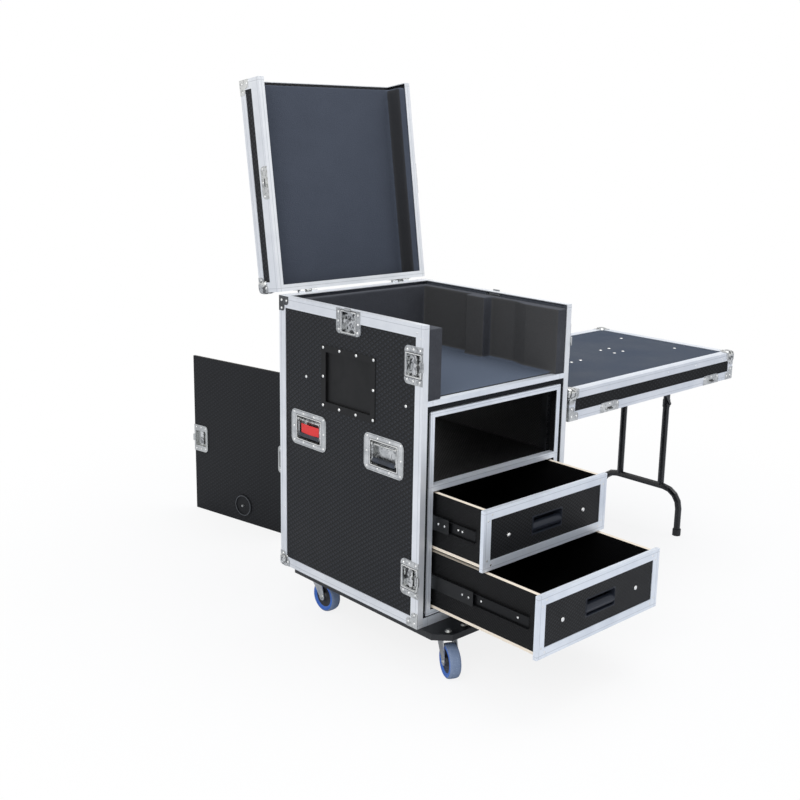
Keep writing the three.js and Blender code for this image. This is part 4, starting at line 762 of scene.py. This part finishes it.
dress(black_coat("black_label_dish", "#060607", "#0f1011", 0.45), "label_dish")
dress(black_coat("black_rack_rails", "#0a0b0c", "#1a1c1f", 0.3), "left_rail_and_runners", "right_rail_and_runners")


# The spring handles: a zinc dish pressed into each side, a zinc bail on a rod
# across its mouth, and a black ribbed rubber grip moulded round the bail's bar.
# One grip at the back of the left side carries a plain red tag.
def handle_crease_shade(y, z):
    """Painted shade in the fold round each dish's mouth, and in a second one just inside the flange's outer edge."""
    across, up = apart(y, 0.154, 0.493), apart(z, 0.612)
    return outline_of(across, up, 0.0605, 0.0395, 0.0011) | outline_of(across, up, 0.0795, 0.0505, 0.0007)


sides, handle_ends = ("left", "right"), (("front", 154), ("rear", 493))
# The handles get painted reflections inside their dishes and painted shade in their folds; the wings get painted
# reflections.
dress(zinc_plate("zinc_handles", "#dadbd9", "#9a9d9f", 0.22, 0.5, 0.2972, handle_crease_shade),
      *[f"{side}_{end}_handle_{part}" for side in sides for end, y in handle_ends for part in ("dish", "bail")])
dress(zinc_plate("zinc_wings", "#e6e6e4", "#a9acae", 0.2, 0.6),
      *[f"{side}_{latch}_wing" for side in sides for latch in ("upper_cover_latch", "lower_cover_latch", "lid_latch")],
      "rear_panel_outer_latch_wing", "rear_panel_inner_latch_wing")

grip_rubber, tree = new_paint("black_grip_rubber")
smear = use_group(tree, handling, Size=25.0)["Smear"]
finish_paint(grip_rubber, noise(tree, 1100.0), 0.2, 0.0003, Base_Color=mix(smear, "#1d2128", "#343b47"),
             Roughness=smear * 0.2 + 0.42)

tag_paint, tree = new_paint("red_tag")
shader = put(tree, "BsdfPrincipled", Base_Color=mix(noise(tree, 600.0), "#f03a38", "#d8302e"), Roughness=0.6)
put(tree, "OutputMaterial", Surface=shader.outputs[0])

grip_half, bar_height = 47.5, 590
along = np.linspace(-grip_half, grip_half, 77)
ribs = 7.25 + 0.55 * np.clip(np.sin(along / grip_half * np.pi * 11), 0, 1) * (np.abs(along) < 41)
grip_outline = np.concatenate([np.stack([ribs, along], 1), [(6.4, grip_half), (6.4, -grip_half)]]) / 1000
for side_name, side in left_and_right:
    for end, y in handle_ends:
        bar = on_case((side * 293, y, bar_height))
        grip = lathe(f"{side_name}_{end}_handle_grip", bar, (0, 1, 0), grip_outline, 24)
        fixed(grip, f"{side_name}_{end}_handle", grip_rubber)
tag_y, tag_z = np.linspace(450, 534, 23), np.linspace(594, 625, 9)
tag_outline = np.concatenate([[(-294.4, z) for z in tag_z], [(-293.6, z) for z in tag_z[::-1]]])
bow = 2.4 * np.sin((tag_y - 450) / 84 * np.pi)[:, None]
tag_points = np.stack(np.broadcast_arrays(tag_outline[None, :, 0] - bow, tag_y[:, None], tag_outline[None, :, 1]), -1)
fixed(closed_strip("left_rear_handle_tag", on_case(tag_points)[::-1]), "left_rear_handle", tag_paint)


# The lid's edges: the same extrusion and plates as the body's, with the keepers
# that the side latches pull on and the lid's halves of the two hinges. The lid
# stands open, so its plates are told apart by where they lie when it is shut.
lid_angle = np.radians(98.6)
hinge_line = on_case((0, 638.5, 1005.4))


def turned_back(tree, angle, axis, pivot):
    """The piece's point, turned by the angle about the axis (0 for x, 2 for z) through a pivot. The node turns about
    the origin, so it also moves the point by pivot - turned pivot."""
    first, second = [k for k in range(3) if k != axis]
    shift = np.zeros(3)
    shift[first] = pivot[first] - (pivot[first] * np.cos(angle) - pivot[second] * np.sin(angle))
    shift[second] = pivot[second] - (pivot[first] * np.sin(angle) + pivot[second] * np.cos(angle))
    turn = tuple(angle * (np.arange(3) == axis))
    return put(tree, "Mapping", Vector=object_point(tree), Rotation=turn, Location=tuple(shift)).outputs[0]


def shut_place(tree):
    """Where a point of the open lid lies when the lid is shut."""
    return turned_back(tree, lid_angle, 0, hinge_line)


def opened_lid(points, outward=(0, 0, 1)):
    """Points and directions of the shut lid, turned back by its angle about the hinge line."""
    turn = np.array([[1, 0, 0], [0, np.cos(lid_angle), np.sin(lid_angle)], [0, -np.sin(lid_angle), np.cos(lid_angle)]])
    return (np.asarray(points) - hinge_line) @ turn.T + hinge_line, np.asarray(outward, float) @ turn.T


def lid_plates(x, y, z):
    """Plated where a plate stands proud of the lid's own faces, on any side of it."""
    return (abs(x) > 0.3003) | (((y > 0.6343) | (y < -0.0003)) | (z > 1.1003))


def lid_slot_shade(x, y, z):
    """Painted shade in the slots of the keepers that the lid latches hook into."""
    return (apart(y, 0.309) < 0.012) * between(z, 1.008, 1.016)


lid_grooves = ((-290, 290), (10, 624), (1012.5, 1090))
dress(edge_metal("edge_aluminium_lid", lid_plates, silver, lid_grooves, shut_place, lid_slot_shade), "lid_trim")

keeper_rivets = [(-40, 22), (0, 24), (40, 22)]
lid_rivets, lid_edge = [], []
for side_name, side in left_and_right:
    out = (side, 0, 0)
    lid_rivets.append(on_plate((side * half_width, 309, body_top + 0.5), (0, side, 0), (0, 0, 1), keeper_rivets))
    for y, step in ((0, 1), (case_depth, -1)):
        corner = (side * half_width, y, lid_top)
        lid_rivets.append(on_plate(corner, (0, step, 0), (0, 0, -1), guard_rivets, out=out))
        lid_rivets.append(on_plate(corner, (-side, 0, 0), (0, step, 0), guard_rivets, out=(0, 0, 1)))
    ball_corner(f"lid_{side_name}_ball_corner", "lid", (side * half_width, case_depth, lid_top), (side, 1, 1),
                lambda points: opened_lid(on_case(points))[0])
    lid_edge.append(on_plate((side * half_width, 0, 1079.5), (0, 1, 0), (0, 0, 1), [(224, 0), (422, 0)], 0.0, out))
domes("lid_edge_rivets", "lid", rivet_metal, *opened_lid(*gathered(lid_edge)), 0.0028, 0.0012, 2, 8, 0.0002)
domes("lid_rivets", "lid", rivet_metal, *opened_lid(*gathered(lid_rivets)))


# The drawers: boxes of black film-faced ply, birch bare along the walls' tops and
# the floor, with a laminated front, a black pressed pull and black telescopic
# members on both sides. The front is framed in aluminium.
def drawer_paint(name, bottom, top, out):
    """Zones of a drawer: front laminate where the face looks forward at the front, bare birch on the walls' top edges
    and the floor's side edges, black steel within the pull's outline and on the members, black film elsewhere."""
    made, tree = new_paint(name)
    x, y, z = xyz(case_point(tree))
    reach, middle = abs(x), (bottom + top) / 2
    side = use_group(tree, facing)
    front = side["Y"] * (y < -0.0096 - out)
    rim = side["Z"] * between(z, top - 0.0045, top - 0.0035)
    sill = side["X"] * ((z < bottom + 0.0125) * between(reach, 0.2415, 0.243))
    bare = rim | sill
    pull = (reach < 0.0635) * (between(z, middle - 0.0275, middle + 0.0275) * (y < 0.028 - out))
    steel = pull | ((reach > 0.2431) * (y > 0.004 - out))
    weave = use_group(tree, lozenges, Width=0.0062, Height=0.0045)
    press = use_group(tree, lozenges, Width=0.0078, Height=0.0054)
    film, face = mix(weave["Crown"], "#020203", "#0b0c0d"), mix(press["Crown"], "#0d0e10", "#212327")
    tone = mix(steel, mix(front, film, face), mix(pull, "#0b0c0e", "#272b33"))
    tone = mix(bare, tone, use_group(tree, ply_edge)["Tone"])
    height = blend(front, weave["Relief"], press["Relief"]) * (1 - (steel | bare))
    rough = steel * -0.12 + (use_group(tree, handling, Size=7.0)["Smear"] * 0.12 + 0.44)
    return finish_paint(made, height, 0.6, 0.0007, Base_Color=tone, Roughness=rough, Specular_IOR_Level=0.2)


drawer_sizes = {"upper": (365.4, 536.2, 186.0, (-91, -107, 120)), "lower": (189.9, 364.5, 384.0, (-316, -184.5, 30))}
# The drawers' edges get a lighter, bluer copy of the silver too: painted light for their forward faces.
drawer_edges = edge_metal("edge_aluminium_drawers", None, ("#eaeff5", "#c6ced9"),
                          ((-248, 248), (), (374.4, 527.2, 198.9, 355.5)))
slide_coat = black_coat("black_slide_members", "#08090a", "#15171a", 0.34)
for drawer, (bottom, top, out, screw_places) in drawer_sizes.items():
    box_paint = drawer_paint(f"{drawer}_drawer_film_and_laminate", bottom / 1000, top / 1000, out / 1000)
    dress(box_paint, f"{drawer}_drawer_box")
    dress(drawer_edges, f"{drawer}_drawer_trim")
    dress(slide_coat, f"{drawer}_left_slide", f"{drawer}_right_slide")
    body, face, middle = f"{drawer}_drawer", -12.6 - out, (bottom + top) / 2
    corners = [(side * (257 - a), face, base + up * b) for side in (-1, 1) for base, up in ((bottom, 1), (top, -1))
               for a, b in ((31, 15), (16, 30))]
    domes(f"{body}_corner_rivets", body, rivet_metal, on_case(corners), (0, -1, 0), 0.0034, 0.00005, foot=0.0002)
    bolts = [(side * 156, face + 2, middle - 4) for side in (-1, 1)]
    domes(f"{body}_front_bolts", body, rivet_metal, on_case(bolts), (0, -1, 0), 0.0064, 0.0019, 3, 16, 0.0002)
    screws = []
    for side_name, side in left_and_right:
        low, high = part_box(f"{drawer}_{side_name}_slide")
        outer = low.x if side < 0 else high.x
        heads = [(outer, low.y + step, (low.z + high.z) / 2) for step in (0.017, 0.041)]
        domes(f"{drawer}_{side_name}_slide_rivets", f"{drawer}_drawer_slides", rivet_metal, heads, (side, 0, 0), 0.0034,
              0.0001, 1, foot=0.0002)
        screws.append(on_plate((side * 243.4, 0, middle), (0, 1, 0), (0, 0, 1), [(y, 0) for y in screw_places], 0.0,
                               (side, 0, 0)))
    domes(f"{body}_slide_screws", body, rivet_metal, *gathered(screws), 0.0036, 0.0014, foot=0.0002)


# The table: the case's front cover laid flat on two folding legs. Its top is a
# smooth blue-grey laminate bolted to the leg fittings, its band is the charcoal
# laminate, and its edges carry ball corners, brackets and the latches' keepers.
table_turn = np.radians(1.2)
near_x, far_x, near_y, far_y, table_low, table_high = 358, 1311, 37, 637, 622, 720


def table_place(tree):
    """Points of the table before it was turned about its near left corner."""
    return turned_back(tree, -table_turn, 2, on_case((near_x, near_y, 0)))


def table_plates(x, y, z):
    """Plated where a plate stands proud of the cover's own faces."""
    long_way, short_way = (x < 0.3577) | (x > 1.3113), (y < 0.0367) | (y > 0.6373)
    return long_way | (short_way | ((z > 0.7203) | (z < 0.6217)))


def table_slot_shade(x, y, z):
    """Painted shade in the slots of the keepers that the cover latches hook into."""
    return (apart(x, 0.567, 1.17) < 0.012) * between(z, 0.63, 0.638)


table_grooves = ((368, 1301), (47, 627), (710, 632))
dress(edge_metal("edge_aluminium_table", table_plates, ("#e6e9ee", "#c6cdd6"), table_grooves, table_place, table_slot_shade),
      "table_cover_trim")

table_paint, tree = new_paint("table_top_and_band")
flat = (xyz(object_point(tree))[2] > 0.7172) * use_group(tree, facing)["Z"]
press, speck = use_group(tree, lozenges, **wide_lozenge), noise(tree, 850.0)
smear = use_group(tree, handling, Size=4.0)["Smear"]
pale = mix(speck * 0.4 + smear * 0.4, "#2f3947", "#3b4658")
finish_paint(table_paint, blend(flat, press["Relief"], speck), 0.3, 0.0006, Specular_IOR_Level=0.14,
             Base_Color=mix(flat, mix(press["Crown"], "#121315", "#2a2c30"), pale), Roughness=smear * 0.15 + 0.55)
dress(table_paint, "table_cover_shell")


def on_table(points):
    """Points of the table in millimetres, turned about its near left corner."""
    arm = np.asarray(points, float) - [near_x, near_y, 0]
    turned = np.stack([arm[..., 0] * np.cos(table_turn) - arm[..., 1] * np.sin(table_turn),
                       arm[..., 0] * np.sin(table_turn) + arm[..., 1] * np.cos(table_turn), arm[..., 2]], -1)
    return on_case(turned + [near_x, near_y, 0])


def table_heads(name, places, ways, *sizes):
    """Domed heads on the table, each facing the way given along its long side, its short side and up."""
    long_side = np.array([np.cos(table_turn), np.sin(table_turn), 0])
    short_side = np.array([-np.sin(table_turn), np.cos(table_turn), 0])
    outward = np.asarray(ways, float) @ np.array([long_side, short_side, [0, 0, 1]])
    domes(name, "table", rivet_metal, on_table(places), outward, *sizes)


top_bolts = [(leg_x + inboard * step, y, table_high - 2.3) for leg_x, inboard in ((494, 1), (1215, -1))
             for step, places in ((262, (306, 368)), (211, (306, 368)), (13, (217, 457))) for y in places]
table_heads("table_top_bolts", top_bolts, (0, 0, 1), 0.006, 0.0019, 2, 14, 0.0002)
long_edges, short_edges = ((near_y, -1), (far_y, 1)), ((near_x, -1), (far_x, 1))
edge_places = [((x, y, 702), (0, way, 0)) for y, way in long_edges for x in (548, 721, 894, 1067, 1240)] \
    + [((x, y, 702), (way, 0, 0)) for x, way in short_edges for y in (187, 337, 487)]
table_heads("table_edge_rivets", *zip(*edge_places), 0.0026, 0.0011, 2, 8, 0.0002)
for (y, short_way), depth_name in zip(long_edges, ("front", "rear")):
    for (x, long_way), side_name in zip(short_edges, sides):
        corner_name = f"table_{depth_name}_{side_name}"
        ball_corner(f"{corner_name}_ball_corner", "table", (x, y, table_high), (long_way, short_way, 1), on_table)
        on_face = [((x - long_way * a, y + short_way * 1.5, table_low + b), (0, short_way, 0)) for a, b in guard_rivets]
        on_end = [((x + long_way * 1.5, y - short_way * a, table_low + b), (long_way, 0, 0)) for a, b in guard_rivets]
        table_heads(f"{corner_name}_rivets", *zip(*on_face, *on_end), 0.004, 0.002)
keeper_places = [((x + u, y + way * 1.5, table_low + v), (0, way, 0)) for y, way in long_edges for x in (567, 1170)
                 for u, v in keeper_rivets]
table_heads("table_keeper_rivets", *zip(*keeper_places), 0.004, 0.002)

leg_coat, tree = new_paint("gloss_black_legs")
cap = xyz(object_point(tree))[2] < 0.0252
smear = use_group(tree, handling, Size=22.0)["Smear"]
enamel = mix(cap, mix(smear, "#0c0d0f", "#1a1c20"), "#17181a")
finish_paint(leg_coat, noise(tree, 500.0), 0.12, 0.0003, Base_Color=enamel,
             Roughness=cap * 0.4 + (smear * 0.1 + 0.22))
dress(leg_coat, "left_table_leg", "right_table_leg", "left_table_brace", "right_table_brace")


# The rear panel: a sheet of the same laminated ply that has been lifted out and
# stands upright behind the case. It has a zinc latch dish in each upright edge and
# a round cable port, shut by a black cover with a small bright stud.
panel_turn, panel_foot = np.radians(10.3), (41.5, 1345, 0)
panel_along = np.array([np.sin(panel_turn), -np.cos(panel_turn), 0])
panel_out = np.array([-np.cos(panel_turn), -np.sin(panel_turn), 0])

panel_paint, tree = new_paint("rear_panel_laminate")
arm = vectors("SUBTRACT", object_point(tree), tuple(on_case(panel_foot)))
width_way, proud_way = (vectors("DOT_PRODUCT", arm, tuple(way)) for way in (panel_along, panel_out))
up_way = xyz(arm)[2]
from_port = up_way - 0.065
port_reach = (width_way * width_way + from_port * from_port).step("SQRT")
port, stud = port_reach < 0.0445, port_reach < 0.0042
pocket = between(abs(width_way), 0.1925, 0.2532) * between(up_way, 0.2585, 0.3215)
plated = ((proud_way > 0.0003) * (1 - port)) | (pocket | stud)
press = use_group(tree, lozenges, **wide_lozenge)
sealed_ply = mix(use_group(tree, ply_edge)["Grain"] * 0.4, "#1c1916", "#3f372d")
tone = mix(use_group(tree, facing)["X"], sealed_ply, mix(press["Crown"], "#18191b", "#26282b"))
tone = mix(port, tone, mix(between(port_reach, 0.0372, 0.0392) * 0.5, "#1c1d1f", "#8b8e92"))
bright, bright_gloss = metal_finish(use_group(tree, handling, Size=6.0), "#cfd0cd", "#8b8e90", 0.22)
finish_paint(panel_paint, press["Relief"] * (1 - (port | plated)), 0.4, 0.0007, Base_Color=mix(plated, tone, bright),
             Roughness=blend(plated, 0.5, bright_gloss), Metallic=plated * 0.9, Specular_IOR_Level=0.22)
dress(panel_paint, "rear_panel")

panel_rivets = [panel_foot + side * (260 - inward) * panel_along + np.array([0, 0, 290 + up]) + 3.5 * panel_out
                for side in (-1, 1) for up, inward in latch_rivets]
domes("rear_panel_latch_rivets", "rear_panel_body", rivet_metal, on_case(panel_rivets), panel_out)
